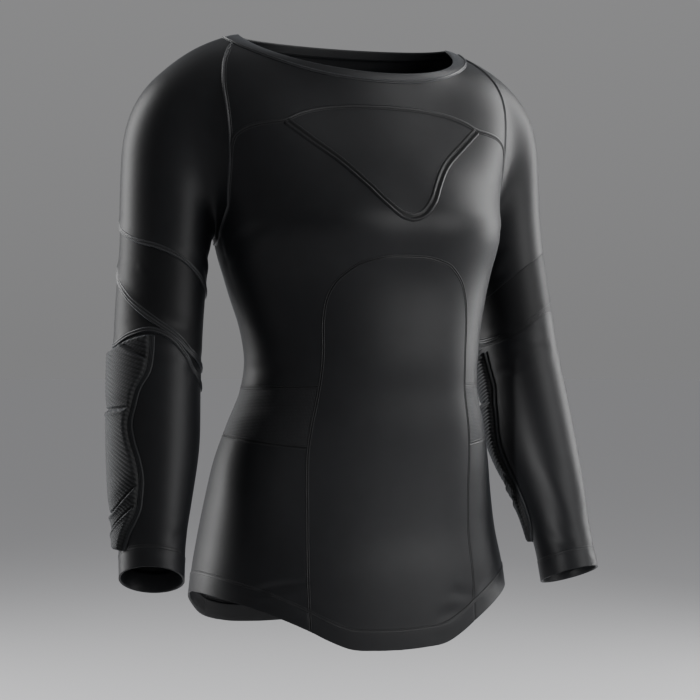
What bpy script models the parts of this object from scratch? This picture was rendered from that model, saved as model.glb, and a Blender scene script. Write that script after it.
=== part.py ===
# Long-sleeved padded compression shirt, worn by nobody and holding its worn shape.
# Metres, +Z up. The front faces -Y and the wearer's left is +X. The origin is the middle
# of the neck at the height of the shoulders, where the wearer holds the shirt up.
# Every cut piece is a thin closed wall. Its outer points come from one surface for the body
# or one for each sleeve, and its inner points lie one cloth thickness inside them.

import bpy
import numpy as np
from mathutils import Vector
from mathutils.geometry import delaunay_2d_cdt

NAME = "padded_compression_shirt"

# Driving dimensions.
WALL = 0.0015                # jersey with its seam allowances
BAND_WALL = 0.0022           # neckband, which is folded double
SEAM_GAP = 0.0003            # space between two pieces at a seam
PAD_LIFT = 0.0052            # forearm pad, crown over the sleeve
PAD_EDGE = 0.0016            # forearm pad, height of its rim
PAD_SEAT = 0.0013            # pad's base over the sleeve's true curve, clear of the sleeve's flats
PAD_GROOVE = 0.0024          # depth of the lines where the pad bends
BAND_WIDTH = 0.013           # neckband, measured on the surface
ARMHOLE_RING = 0.1925        # depth below the origin of the ring where the sleeve turns to a tube
ARMHOLE_SLANT = 0.0525       # how much higher that ring is outside than under the arm
CHEST_RING = -0.190          # height where the rings end and the shoulder curves begin
DEGREE_LENGTH = 0.0026       # length of one degree round the body, to even out seam points
LATTICE_ANGLE = 9            # spacing of the points inside a body panel
LATTICE_HEIGHT = 0.026
LATTICE_MARGIN = 0.011       # least distance of those points from the panel's seams
STEP_ANGLE = 0.4             # degrees between the points that give a surface its direction
STEP_HEIGHT = 0.001
RING_STEP = 0.010            # the same for the slope of the body at the chest ring
MITRE_LEAST = 0.35           # keeps a sharp corner of a panel from moving too far
SHARP_ANGLE = 50             # edges that turn more than this are shaded sharp
NECK_POINTS = 15             # on the band's lower edge, across the front and across the back
NECK_SEAM_FRONT = 80         # degrees where the front and back raglan seams reach the band
NECK_SEAM_BACK = 100

# Body sections, upwards from the hem.
BODY_COLUMNS = ("height", "half_width", "front_depth", "back_depth", "centre_y")
BODY_SECTIONS = [
    (-0.680, 0.188, 0.118, 0.132, 0.004),
    (-0.620, 0.184, 0.116, 0.130, 0.004),
    (-0.580, 0.179, 0.114, 0.127, 0.005),
    (-0.540, 0.171, 0.111, 0.122, 0.007),
    (-0.500, 0.164, 0.108, 0.116, 0.004),
    (-0.460, 0.157, 0.105, 0.109, -0.002),
    (-0.420, 0.146, 0.101, 0.101, -0.011),
    (-0.385, 0.1345, 0.097, 0.095, -0.018),
    (-0.355, 0.132, 0.096, 0.092, -0.023),
    (-0.320, 0.136, 0.099, 0.094, -0.021),
    (-0.280, 0.146, 0.105, 0.101, -0.014),
    (-0.240, 0.155, 0.109, 0.106, -0.007),
    (-0.200, 0.1625, 0.110, 0.109, -0.001),
    (-0.190, 0.164, 0.109, 0.109, 0.000),
]
SECTION_POWER = 2.2          # 2 is an ellipse, more is squarer

# Neck opening.
NECK_HALF_WIDTH = 0.128
NECK_FRONT_DEPTH = 0.092
NECK_BACK_DEPTH = 0.037
NECK_CENTRE_Y = 0.018
NECK_FRONT_DROP = 0.045
NECK_BACK_HEIGHT = -0.002    # of the band's top edge at the middle of the back

# Shoulder curves: how they leave the chest ring and how they come up to the neck edge.
RISE_FRONT = 0.060           # straight part above the chest ring, front and back
RISE_SIDE = 0.060            # more of it at the sides
FLARE_SIDE = 0.023           # outward lean of that part at the sides
SLOPE_OUT = 0.006            # how far the shoulder runs out before it turns down, front
SLOPE_OUT_SIDE = 0.088       # more at the sides
SLOPE_OUT_BACK = 0.012       # more behind
SLOPE_DOWN = 0.045           # how far it falls over that run
SLOPE_DOWN_SIDE = 0.023      # less at the sides

# Chest fullness of a general figure, spread smoothly with no separate forms.
CHEST_HEIGHT = -0.205
CHEST_LIFT = 0.034
CHEST_HALF_WIDTH = 0.150
CHEST_HALF_HEIGHT = 0.048
CHEST_FORWARD = 0.9          # share of the lift that goes forward
CHEST_WIDEN = 0.8            # share of the lift that goes sideways
CHEST_HOLLOW = 0.12          # how much less it is in the middle
CHEST_HOLLOW_WIDTH = 0.035

# Sleeve head: how strongly it leaves the seam, at the underarm and at the shoulder, how strongly
# it turns down, its rows, and how its shape is evened round the arm below the seam.
HEAD_FULLNESS = 1.36
HEAD_FULLNESS_TOP = 1.55
HEAD_FALL = 1.15
HEAD_ROWS = 6
HEAD_EVEN_SPREAD = 0.9
HEAD_EVEN_FROM = 0.4
RINGS_PER_PIECE = (2, 3, 2, 8)   # upper sleeve below the head, wrap, elbow panel, forearm

# Sleeve sections, downwards from the shoulder, for the arm at +X.
ARM_COLUMNS = ("height", "centre_x", "centre_y", "half_width", "half_depth")
ARM_SECTIONS = [
    (-0.130, 0.2035, 0.034, 0.0490, 0.054),
    (-0.190, 0.2060, 0.033, 0.0490, 0.053),
    (-0.225, 0.2090, 0.029, 0.0475, 0.051),
    (-0.260, 0.2130, 0.026, 0.0470, 0.051),
    (-0.300, 0.2180, 0.022, 0.0465, 0.051),
    (-0.340, 0.2225, 0.016, 0.0460, 0.050),
    (-0.388, 0.2285, 0.005, 0.0455, 0.048),
    (-0.442, 0.2350, -0.008, 0.0435, 0.046),
    (-0.496, 0.2425, -0.022, 0.0390, 0.0415),
    (-0.539, 0.2480, -0.033, 0.0345, 0.0360),
    (-0.562, 0.2505, -0.039, 0.0335, 0.0345),
    (-0.620, 0.2560, -0.051, 0.0335, 0.0345),
]
# The forearm is fuller behind and inside.
FOREARM_FULL_ANGLE = 225
FOREARM_FULL_HEIGHT = -0.445
FOREARM_FULL_OUT = 0.010
FOREARM_FULL_SPREAD = 55     # degrees either way
FOREARM_FULL_LENGTH = 0.055  # up and down

# Seams on the body as (angle, height): 0 degrees is the front, 90 the wearer's left side.
# Above the chest ring the height counts along the shoulder curves and ends at 0 on the neck edge.
RAGLAN_FRONT = [
    (NECK_SEAM_FRONT, -BAND_WIDTH), (75, -0.032), (72, -0.055), (70.5, -0.085), (70, -0.115),
    (71, -0.140), (73, -0.160), (78, -0.185), (86, -0.210), (94, -0.225), (101, -0.229),
]
RAGLAN_BACK = [
    (101, -0.229), (106, -0.225), (111, -0.210), (114, -0.185), (115, -0.155),
    (115, -0.120), (113, -0.090), (110, -0.060), (106, -0.035), (NECK_SEAM_BACK, -BAND_WIDTH),
]
YOKE = [
    (0, -0.054), (20, -0.0595), (35, -0.073), (45, -0.091), (51, -0.106),
    (58, -0.117), (64, -0.127), (69.5, -0.140), (73, -0.160),
]
VEE = [
    (51, -0.106), (42.5, -0.120), (30.5, -0.140), (20, -0.166), (12, -0.188),
    (5, -0.2005), (0, -0.2035),
]
PRINCESS = [
    (0, -0.2435), (12, -0.2445), (20, -0.248), (26, -0.252), (32, -0.260), (37.5, -0.270),
    (42, -0.284), (45.5, -0.305), (47.5, -0.340), (48.5, -0.379), (49, -0.443),
    (47.5, -0.480), (45.5, -0.540), (45, -0.580), (44, -0.6325),
]
SIDE = [
    (101, -0.229), (112, -0.270), (121, -0.320), (127, -0.379), (129, -0.434),
    (128, -0.500), (126, -0.570), (125, -0.636),
]
WAIST_UPPER = [(48.5, -0.379), (70, -0.380), (97, -0.381), (127, -0.379)]
WAIST_LOWER = [(49, -0.443), (60, -0.440), (85, -0.434), (105, -0.432), (129, -0.434)]
HEM = [
    (0, -0.656), (14, -0.655), (27, -0.652), (37, -0.642), (44, -0.6325), (54, -0.620),
    (64, -0.609), (76, -0.601), (89, -0.598), (100, -0.601), (112, -0.615), (125, -0.636),
    (138, -0.646), (155, -0.651), (180, -0.652),
]

# Seams round each sleeve as heights at angles: 0 degrees is the front, 90 the outer side.
SLEEVE_COLUMNS = ("angle", "wrap_top", "wrap_bottom", "elbow_bottom")
SLEEVE_SEAMS = {
    "right": [
        (-90, -0.286, -0.363, -0.384),
        (-60, -0.279, -0.357, -0.377),
        (-30, -0.262, -0.345, -0.359),
        (0, -0.245, -0.326, -0.332),
        (30, -0.233, -0.309, -0.3195),
        (60, -0.226, -0.291, -0.324),
        (90, -0.216, -0.271, -0.334),
        (120, -0.203, -0.252, -0.337),
        (150, -0.214, -0.262, -0.339),
        (180, -0.236, -0.290, -0.343),
        (210, -0.262, -0.325, -0.356),
        (240, -0.280, -0.352, -0.374),
    ],
    "left": [
        (-90, -0.286, -0.330, -0.338),
        (-60, -0.279, -0.3255, -0.333),
        (-30, -0.262, -0.3155, -0.3225),
        (0, -0.245, -0.301, -0.308),
        (30, -0.233, -0.290, -0.2975),
        (60, -0.226, -0.283, -0.304),
        (90, -0.216, -0.273, -0.333),
        (120, -0.203, -0.264, -0.337),
        (150, -0.214, -0.264, -0.339),
        (180, -0.236, -0.280, -0.341),
        (210, -0.262, -0.300, -0.343),
        (240, -0.280, -0.320, -0.344),
    ],
}
# Each cuff edge is a level ring tilted towards one side.
CUFFS = {
    "right": {"height": -0.5765, "tilt": 0.0170, "towards": 27},
    "left": {"height": -0.5960, "tilt": 0.0120, "towards": 15},
}
# Sides of the forearm pad down its length, which runs round the back of the arm. The forearms
# are twisted differently in the worn pose, so each pad is turned by its own angle.
PAD_COLUMNS = ("height", "front_angle", "inner_angle")
PAD_SIDES = [
    (-0.330, 50, 258),
    (-0.350, 50, 259),
    (-0.369, 54, 260),
    (-0.384, 65, 256),
    (-0.400, 71, 253),
    (-0.416, 76, 249),
    (-0.436, 72, 245),
    (-0.455, 64, 245),
    (-0.474, 59, 247),
    (-0.491, 60, 248),
    (-0.505, 63, 248),
    (-0.514, 69, 247),
    (-0.529, 83, 241),
    (-0.546, 95, 222),
]
PAD_TURN = {"right": -23, "left": 22}
PAD_FRONT_LEAST = {"right": 0, "left": 84}  # angle the front side doesn't come forward of
PAD_BOTTOM = {"right": -0.546, "left": -0.560}
PAD_TOP_MARGIN = 0.006
PAD_COLUMNS_ACROSS = 18
PAD_ROWS = 44
# Lines where the foam bends, alike on both halves of the pad: their heights at its sides, a
# quarter of the way in and at its middle.
PAD_BEND_WIDTH = 0.0055
PAD_BEND_SHARES = (0.0, 0.25, 0.5)
PAD_BENDS = [
    (-0.353, -0.331, -0.318),
    (-0.400, -0.403, -0.404),
    (-0.472, -0.504, -0.512),
    (-0.492, -0.522, -0.532),
]

# Cloth colour.
CHARCOAL = (0.020, 0.021, 0.024, 1.0)
CHARCOAL_LIGHT = (0.034, 0.035, 0.039, 1.0)
JERSEY_ROUGHNESS = 0.62
PAD_ROUGHNESS = 0.80


def flow(places, values, at):
    # Smooth curve through the rows: cubic pieces whose slopes are averaged at each row.
    places, values, at = (np.asarray(item, float) for item in (places, values, at))
    order = np.argsort(places)
    places, values = places[order], values[order]
    step = np.diff(places)
    rise = np.diff(values) / step
    slope = np.empty_like(values)
    slope[1:-1] = (rise[:-1] * step[1:] + rise[1:] * step[:-1]) / (step[:-1] + step[1:])
    slope[0], slope[-1] = rise[0], rise[-1]
    row = np.clip(np.searchsorted(places, at) - 1, 0, len(step) - 1)
    t = np.clip((at - places[row]) / step[row], 0, 1)
    start = (1 + 2 * t) * (1 - t) ** 2 * values[row]
    start_slope = t * (1 - t) ** 2 * step[row] * slope[row]
    end = t * t * (3 - 2 * t) * values[row + 1]
    end_slope = t * t * (t - 1) * step[row] * slope[row + 1]
    return start + start_slope + end + end_slope


def read(table, columns, name, at):
    place = [row[0] for row in table]
    value = [row[columns.index(name)] for row in table]
    return flow(place, value, at)


def read_round(table, columns, name, angle):
    # The same for a table that goes once round, read at any angle in degrees.
    place = np.array([row[0] for row in table], float)
    value = np.array([row[columns.index(name)] for row in table], float)
    place = np.concatenate([place - 360, place, place + 360])
    value = np.concatenate([value, value, value])
    return flow(place, value, (np.asarray(angle, float) + 90) % 360 - 90)


def unit(vectors):
    return vectors / np.maximum(np.linalg.norm(vectors, axis=-1, keepdims=True), 1e-12)


def body_ring(turn, height):
    half_width, front, back, centre = (
        read(BODY_SECTIONS, BODY_COLUMNS, name, height) for name in BODY_COLUMNS[1:]
    )
    across, ahead = np.sin(turn), np.cos(turn)
    depth = np.where(ahead > 0, front, back)
    total = np.abs(across / half_width) ** SECTION_POWER + np.abs(ahead / depth) ** SECTION_POWER
    radius = total ** (-1 / SECTION_POWER)
    return np.stack([radius * across, centre - radius * ahead, height + 0 * turn], -1)


def neck_edge(turn):
    across, ahead = np.sin(turn), np.cos(turn)
    depth = np.where(ahead > 0, NECK_FRONT_DEPTH, NECK_BACK_DEPTH)
    drop = np.where(ahead > 0, NECK_FRONT_DROP, NECK_BACK_HEIGHT)
    y = NECK_CENTRE_Y - depth * ahead
    return np.stack([NECK_HALF_WIDTH * across, y, -drop * ahead], -1)


def body(angle, height):
    # Rings up to the chest, then one Bezier curve at each angle up to the neck edge.
    angle, height = np.broadcast_arrays(np.asarray(angle, float), np.asarray(height, float))
    turn = np.radians(angle)
    ring = body_ring(turn, np.minimum(height, CHEST_RING))
    low = body_ring(turn, np.full_like(height, CHEST_RING))
    below = body_ring(turn, np.full_like(height, CHEST_RING - RING_STEP))
    climb = (low - below) / RING_STEP
    top = neck_edge(turn)
    side = np.abs(np.sin(turn))[..., None] ** 4
    behind = np.clip(-np.cos(turn), 0, 1)[..., None]
    outward = np.stack([np.sin(turn), -np.cos(turn), 0 * turn], -1)
    upward = np.array([0, 0, 1.0])
    leave = low + climb * (RISE_FRONT + RISE_SIDE * side) + outward * FLARE_SIDE * side
    arrive = top + outward * (SLOPE_OUT + SLOPE_OUT_SIDE * side + SLOPE_OUT_BACK * behind)
    arrive = arrive - upward * (SLOPE_DOWN - SLOPE_DOWN_SIDE * side)
    t = np.clip((height - CHEST_RING) / -CHEST_RING, 0, 1)[..., None]
    curve = (1 - t) ** 3 * low + 3 * t * (1 - t) ** 2 * leave + 3 * t * t * (1 - t) * arrive + t ** 3 * top
    point = np.where((height > CHEST_RING)[..., None], curve, ring).copy()
    x, z = point[..., 0], point[..., 2]
    spread = np.exp(-(np.abs(x) / CHEST_HALF_WIDTH) ** 4 - ((z - CHEST_HEIGHT) / CHEST_HALF_HEIGHT) ** 2)
    lift = CHEST_LIFT * spread * np.clip(np.cos(turn), 0, 1) ** 0.5
    lift = lift * (1 - CHEST_HOLLOW * np.exp(-(x / CHEST_HOLLOW_WIDTH) ** 2))
    point[..., 1] -= CHEST_FORWARD * lift
    point[..., 0] += CHEST_WIDEN * lift * np.clip(x / CHEST_HALF_WIDTH, -1, 1)
    return point


def body_normal(angle, height):
    angle, height = np.asarray(angle, float), np.minimum(height, -STEP_HEIGHT)
    along = body(angle + STEP_ANGLE, height) - body(angle - STEP_ANGLE, height)
    up = body(angle, height + STEP_HEIGHT) - body(angle, height - STEP_HEIGHT)
    return unit(np.cross(along, up))


def arm(angle, height):
    # Section of the left sleeve at an angle and a height.
    angle, height = np.broadcast_arrays(np.asarray(angle, float), np.asarray(height, float))
    x, y, width, depth = (read(ARM_SECTIONS, ARM_COLUMNS, name, height) for name in ARM_COLUMNS[1:])
    away = (angle - FOREARM_FULL_ANGLE + 180) % 360 - 180
    above = height - FOREARM_FULL_HEIGHT
    full = FOREARM_FULL_OUT * np.exp(
        -(away / FOREARM_FULL_SPREAD) ** 2 - (above / FOREARM_FULL_LENGTH) ** 2)
    turn = np.radians(angle)
    return np.stack([x + (width + full) * np.sin(turn), y - (depth + full) * np.cos(turn), height], -1)


def seam(knots, stops, counts):
    # Points along a smooth curve through the knots, cut into stretches at the stops.
    knots = np.array(knots, float)
    size = np.linalg.norm(np.diff(knots, axis=0) * (DEGREE_LENGTH, 1.0), axis=1)
    place = np.concatenate([[0], np.cumsum(size)])
    ends = [0] + [place[stop] for stop in stops]
    stretches = []
    for first, last, count in zip(ends[:-1], ends[1:], counts):
        at = np.linspace(first, last, count + 1)
        stretches.append(np.stack([flow(place, knots[:, 0], at), flow(place, knots[:, 1], at)], -1))
    return stretches


def mirrored(stretch, turn=0):
    # The same stretch on the wearer's right, with angles counted down or past the back.
    return np.stack([turn - stretch[:, 0], stretch[:, 1]], -1)


def chain(*stretches):
    # One closed outline from stretches that follow each other, without repeated ends.
    return np.concatenate([stretch[:-1] for stretch in stretches])


def inside(points, outline, margin):
    # Which points lie in the outline and at least the margin away from its sides.
    start, end = outline, np.roll(outline, -1, axis=0)
    px, py = points[:, None, 0], points[:, None, 1]
    crosses = (start[:, 1] > py) != (end[:, 1] > py)
    rise = np.where(end[:, 1] == start[:, 1], 1e-12, end[:, 1] - start[:, 1])
    hit = px < start[:, 0] + (py - start[:, 1]) / rise * (end[:, 0] - start[:, 0])
    within = (crosses & hit).sum(axis=1) % 2 == 1
    side = end - start
    t = ((points[:, None] - start) * side).sum(-1) / (side ** 2).sum(-1)
    nearest = start + np.clip(t, 0, 1)[..., None] * side
    return within & (np.linalg.norm(points[:, None] - nearest, axis=-1).min(axis=1) > margin)


def boundary_edges(faces):
    # Directed edges that only one face uses.
    used = {(face[i - 1], face[i]) for face in faces for i in range(len(face))}
    return [edge for edge in used if (edge[1], edge[0]) not in used]


def pull_back(points, normals, faces):
    # Move the rim of a panel half a seam gap into the panel, along the surface.
    inward = {}
    for start, end in boundary_edges(faces):
        normal = unit(normals[start] + normals[end])
        step = unit(np.cross(normal, points[end] - points[start]))
        inward.setdefault(start, []).append(step)
        inward.setdefault(end, []).append(step)
    moved = points.copy()
    for place, steps in inward.items():
        total = sum(steps)
        mitre = max(MITRE_LEAST, 1 + float(np.dot(steps[0], steps[-1])))
        moved[place] += total / mitre * SEAM_GAP / 2
    return moved


def material(name, colour, roughness):
    finish = bpy.data.materials.new(name + "_cloth")
    finish.use_nodes = True
    shader = finish.node_tree.nodes["Principled BSDF"]
    shader.inputs["Base Color"].default_value = colour
    shader.inputs["Roughness"].default_value = roughness
    shader.inputs["Metallic"].default_value = 0.0
    return finish


def add_wall(name, outer, inner, faces, colour=CHARCOAL, roughness=JERSEY_ROUGHNESS):
    # Closed wall: the outer faces, the same faces turned round inside, and a rim between.
    count = len(outer)
    rims = [(end, start, start + count, end + count) for start, end in boundary_edges(faces)]
    backs = [tuple(place + count for place in reversed(face)) for face in faces]
    mesh = bpy.data.meshes.new(name)
    points = [tuple(point) for point in np.concatenate([outer, inner])]
    mesh.from_pydata(points, [], [tuple(face) for face in faces] + backs + rims)
    mesh.update()
    mesh.shade_smooth()
    mesh.set_sharp_from_angle(angle=np.radians(SHARP_ANGLE))
    mesh.materials.append(material(name, colour, roughness))
    part = bpy.data.objects.new(name, mesh)
    bpy.data.collections[NAME].objects.link(part)
    return part


def add_cloth(name, points, normals, faces, thickness=WALL, colour=CHARCOAL):
    outer = pull_back(points, normals, faces)
    return add_wall(name, outer, outer - normals * thickness, faces, colour)


def add_panel(name, outline, colour=CHARCOAL):
    # A body panel: its outline and an even lattice inside it, joined by triangles.
    scale = np.array([DEGREE_LENGTH, 1.0])
    flat = outline * scale
    columns = np.arange(-180, 361, LATTICE_ANGLE) * scale[0]
    rows = np.arange(-0.650, 0, LATTICE_HEIGHT)
    lattice = np.stack(np.meshgrid(columns, rows), -1).reshape(-1, 2)
    flat = np.concatenate([flat, lattice[inside(lattice, flat, LATTICE_MARGIN)]])
    ring = list(range(len(outline)))
    shoelace = np.cross(flat[ring], np.roll(flat[ring], -1, axis=0)).sum()
    if shoelace < 0:
        ring.reverse()
    places, _, faces, sources, _, _ = delaunay_2d_cdt(
        [Vector(point) for point in flat], [], [ring], 1, 1e-7)
    origin = [source[0] for source in sources]
    faces = [tuple(origin[corner] for corner in face) for face in faces]
    corners = flat[np.array(faces)]
    area = np.cross(corners[:, 1] - corners[:, 0], corners[:, 2] - corners[:, 0])
    faces = [face if size > 0 else face[::-1] for face, size in zip(faces, area)]
    angle, height = flat[:, 0] / scale[0], flat[:, 1]
    add_cloth(name, body(angle, height), body_normal(angle, height), faces, colour=colour)


def grid_faces(rows, columns, closed):
    # Quads of a grid whose rows go round the wearer's left to right when seen from outside.
    faces = []
    for row in range(rows - 1):
        for column in range(columns if closed else columns - 1):
            right = (column + 1) % columns
            low, high = row * columns, (row + 1) * columns
            faces.append((low + column, low + right, high + right, high + column))
    return faces


def build_body():
    raglan_high, raglan_low = seam(RAGLAN_FRONT, (6, 10), (6, 4))
    raglan_back, = seam(RAGLAN_BACK, (9,), (10,))
    yoke_half, yoke_side = seam(YOKE, (4, 8), (4, 4))
    vee_half, = seam(VEE, (6,), (7,))
    arch_half, princess_waist, princess_hip = seam(PRINCESS, (9, 10, 14), (10, 2, 7))
    side_chest, side_waist, side_hip = seam(SIDE, (3, 4, 7), (6, 2, 8))
    waist_high, = seam(WAIST_UPPER, (3,), (7,))
    waist_low, = seam(WAIST_LOWER, (4,), (7,))
    hem_front, hem_hip, hem_back = seam(HEM, (4, 11, 14), (4, 8, 6))
    band = np.full(NECK_POINTS, -BAND_WIDTH)
    front_angles = np.linspace(-NECK_SEAM_FRONT, NECK_SEAM_FRONT, NECK_POINTS)
    back_angles = np.linspace(NECK_SEAM_BACK, 360 - NECK_SEAM_BACK, NECK_POINTS)
    neck_front = np.stack([front_angles, band], -1)
    neck_back = np.stack([back_angles, band], -1)
    yoke_middle = np.concatenate([mirrored(yoke_half)[::-1], yoke_half[1:]])
    vee = np.concatenate([mirrored(vee_half), vee_half[::-1][1:]])
    arch = np.concatenate([mirrored(arch_half)[::-1], arch_half[1:]])
    hem_middle = np.concatenate([mirrored(hem_front)[::-1], hem_front[1:]])

    add_panel("front_yoke", chain(
        mirrored(yoke_side)[::-1], yoke_middle, yoke_side, raglan_high[::-1],
        neck_front[::-1], mirrored(raglan_high)))
    add_panel("chest_vee", chain(vee, yoke_middle[::-1]), CHARCOAL_LIGHT)
    add_panel("front_bust", chain(
        mirrored(side_chest), mirrored(waist_high)[::-1], arch, waist_high, side_chest[::-1],
        raglan_low[::-1], yoke_side[::-1], vee[::-1], mirrored(yoke_side), mirrored(raglan_low)))
    add_panel("front_centre", chain(
        mirrored(princess_waist), mirrored(princess_hip), hem_middle, princess_hip[::-1],
        princess_waist[::-1], arch[::-1]))
    for side in ("left", "right"):
        waist = chain(princess_waist, waist_low, side_waist[::-1], waist_high[::-1])
        hip = chain(princess_hip, hem_hip, side_hip[::-1], waist_low[::-1])
        if side == "right":
            waist, hip = mirrored(waist), mirrored(hip)
        add_panel("waist_side_" + side, waist, CHARCOAL_LIGHT)
        add_panel("hip_side_" + side, hip)
    add_panel("back", chain(
        raglan_back[::-1], side_chest, side_waist, side_hip, hem_back,
        mirrored(hem_back, 360)[::-1], mirrored(side_hip, 360)[::-1],
        mirrored(side_waist, 360)[::-1], mirrored(side_chest, 360)[::-1],
        mirrored(raglan_back, 360), neck_back[::-1]))
    return raglan_high, raglan_low, raglan_back, neck_front, neck_back


def build_neckband(neck_front, neck_back):
    side = np.array([90.0])
    angles = np.concatenate([neck_front[:, 0], side, neck_back[:, 0], side + 180])
    heights = np.array([-BAND_WIDTH, -BAND_WIDTH / 2, 0])
    angle, height = np.meshgrid(angles, heights)
    normals = body_normal(angle, height).reshape(-1, 3)
    faces = grid_faces(len(heights), len(angles), True)
    add_cloth("neckband", body(angle, height).reshape(-1, 3), normals, faces, BAND_WALL)


def evened(values):
    # Each value becomes the average of those near it round the arm, weighted by a bell.
    place = np.arange(len(values))
    away = np.abs(place[:, None] - place)
    away = np.minimum(away, len(values) - away)
    weight = np.exp(-(away / HEAD_EVEN_SPREAD) ** 2 / 2)
    return weight @ values / weight.sum(axis=1, keepdims=True)


def sleeve_head(armhole, ring, rows):
    # Curves from the armhole seam down to the sleeve's ring. They leave square to the seam at
    # the underarm and straight towards the ring at the shoulder, always along the body's
    # surface, so the sleeve goes on smoothly from it.
    points = body(armhole[:, 0], armhole[:, 1])
    normals = body_normal(armhole[:, 0], armhole[:, 1])
    along = np.roll(points, -1, axis=0) - np.roll(points, 1, axis=0)
    square = unit(np.cross(along, normals))
    angles = -90 + 360 * np.arange(len(armhole)) / len(armhole)
    end = arm(angles, ring)
    arrive = unit(arm(angles, ring - STEP_HEIGHT) - end)
    reach = np.linalg.norm(end - points, axis=1, keepdims=True)
    top = (1 + np.sin(np.radians(angles))[:, None]) / 2
    towards = end - points
    towards = unit(towards - (towards * normals).sum(axis=1, keepdims=True) * normals)
    fullness = HEAD_FULLNESS + (HEAD_FULLNESS_TOP - HEAD_FULLNESS) * top
    leave = unit(square * (1 - top) + towards * top) * reach * fullness
    fall = arrive * reach * HEAD_FALL
    t = np.linspace(0, 1, rows + 1)[:-1, None, None]
    even = np.clip(t / HEAD_EVEN_FROM, 0, 1)
    even = even * even * (3 - 2 * even)
    start = points * (1 - even) + evened(points) * even
    leave = leave * (1 - even) + evened(leave) * even
    fall = fall * (1 - even) + evened(fall) * even
    head = (1 + 2 * t) * (1 - t) ** 2 * start + t * t * (3 - 2 * t) * end
    head = head + t * (1 - t) ** 2 * leave - t * t * (1 - t) * fall
    return head, normals, angles


def surface_normals(rows):
    # Outward normals of a grid of rings, which run down the sleeve.
    along = np.roll(rows, -1, axis=1) - np.roll(rows, 1, axis=1)
    return unit(np.cross(np.gradient(rows, axis=0), along))


def rings_between(angles, high, low, count):
    # Rings from one seam down to the next, without the last.
    share = np.arange(count)[:, None] / count
    return arm(angles, high + (low - high) * share)


def cuff_edge(side, angles):
    cuff = CUFFS[side]
    return cuff["height"] + cuff["tilt"] * np.cos(np.radians(angles - cuff["towards"]))


def build_sleeve(side, armhole):
    ring_angles = -90 + 360 * np.arange(len(armhole)) / len(armhole)
    ring = -ARMHOLE_RING + ARMHOLE_SLANT * np.sin(np.radians(ring_angles))
    head, seam_normals, angles = sleeve_head(armhole, ring, HEAD_ROWS)
    table = SLEEVE_SEAMS[side]
    wrap_top, wrap_bottom, elbow_bottom = (
        read_round(table, SLEEVE_COLUMNS, name, angles) for name in SLEEVE_COLUMNS[1:])
    cuff = cuff_edge(side, angles)
    levels = [ring, wrap_top, wrap_bottom, elbow_bottom, cuff]
    counts = RINGS_PER_PIECE
    rows = [head]
    for high, low, count in zip(levels[:-1], levels[1:], counts):
        rows.append(rings_between(angles, high, low, count))
    rows.append(arm(angles, cuff)[None])
    rows = np.concatenate(rows)
    normals = surface_normals(rows)
    normals[0] = seam_normals
    cuts = np.cumsum([0, HEAD_ROWS + counts[0]] + list(counts[1:]))
    names = ("sleeve_upper_", "elbow_wrap_", "elbow_panel_", "forearm_")
    turned = np.array([-1, 1, 1]) if side == "right" else np.ones(3)
    for name, first, last in zip(names, cuts[:-1], cuts[1:]):
        points = rows[first:last + 1][::-1].reshape(-1, 3) * turned
        outward = normals[first:last + 1][::-1].reshape(-1, 3) * turned
        faces = grid_faces(last - first + 1, len(angles), True)
        if side == "right":
            faces = [face[::-1] for face in faces]
        add_cloth(name + side, points, outward, faces)


def build_pad(side):
    # The pad lies on the forearm: its base is the sleeve moved out, its top is crowned and
    # dips where it bends.
    share = np.linspace(0, 1, PAD_COLUMNS_ACROSS)[None]
    drop = np.linspace(0, 1, PAD_ROWS)[:, None]
    top, bottom = PAD_SIDES[0][0], PAD_BOTTOM[side]
    level = top + (bottom - top) * drop
    table_level = top + (PAD_SIDES[-1][0] - top) * drop
    front = read(PAD_SIDES, PAD_COLUMNS, "front_angle", table_level) + PAD_TURN[side]
    front = np.maximum(front, PAD_FRONT_LEAST[side])
    inner = read(PAD_SIDES, PAD_COLUMNS, "inner_angle", table_level) + PAD_TURN[side]
    angle = front + (inner - front) * share
    seam_height = read_round(SLEEVE_SEAMS[side], SLEEVE_COLUMNS, "elbow_bottom", angle)
    height = (seam_height - PAD_TOP_MARGIN) * (1 - drop) + bottom * drop
    base = arm(angle, height)
    down = arm(angle, height - STEP_HEIGHT) - base
    along = arm(angle + STEP_ANGLE, height) - base
    normals = unit(np.cross(down, along))
    edge_across = np.minimum(share, 1 - share) * (PAD_COLUMNS_ACROSS - 1)
    edge_down = np.minimum(drop, 1 - drop) * (PAD_ROWS - 1)
    crown = np.clip(edge_across, 0, 1) * np.clip(edge_down, 0, 1)
    dip = 0 * height
    for bend in PAD_BENDS:
        line = flow(PAD_BEND_SHARES, bend, np.minimum(share, 1 - share))
        dip = np.maximum(dip, np.exp(-((height - line) / PAD_BEND_WIDTH) ** 2))
    lift = PAD_EDGE + (PAD_LIFT - PAD_EDGE - PAD_GROOVE * dip) * crown
    turned = np.array([-1, 1, 1]) if side == "right" else np.ones(3)
    outer = (base + normals * (PAD_SEAT + lift[..., None]))[::-1].reshape(-1, 3) * turned
    inner = (base + normals * PAD_SEAT)[::-1].reshape(-1, 3) * turned
    faces = grid_faces(PAD_ROWS, PAD_COLUMNS_ACROSS, False)
    if side == "right":
        faces = [face[::-1] for face in faces]
    add_wall("forearm_pad_" + side, outer, inner, faces, CHARCOAL_LIGHT, PAD_ROUGHNESS)


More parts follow.
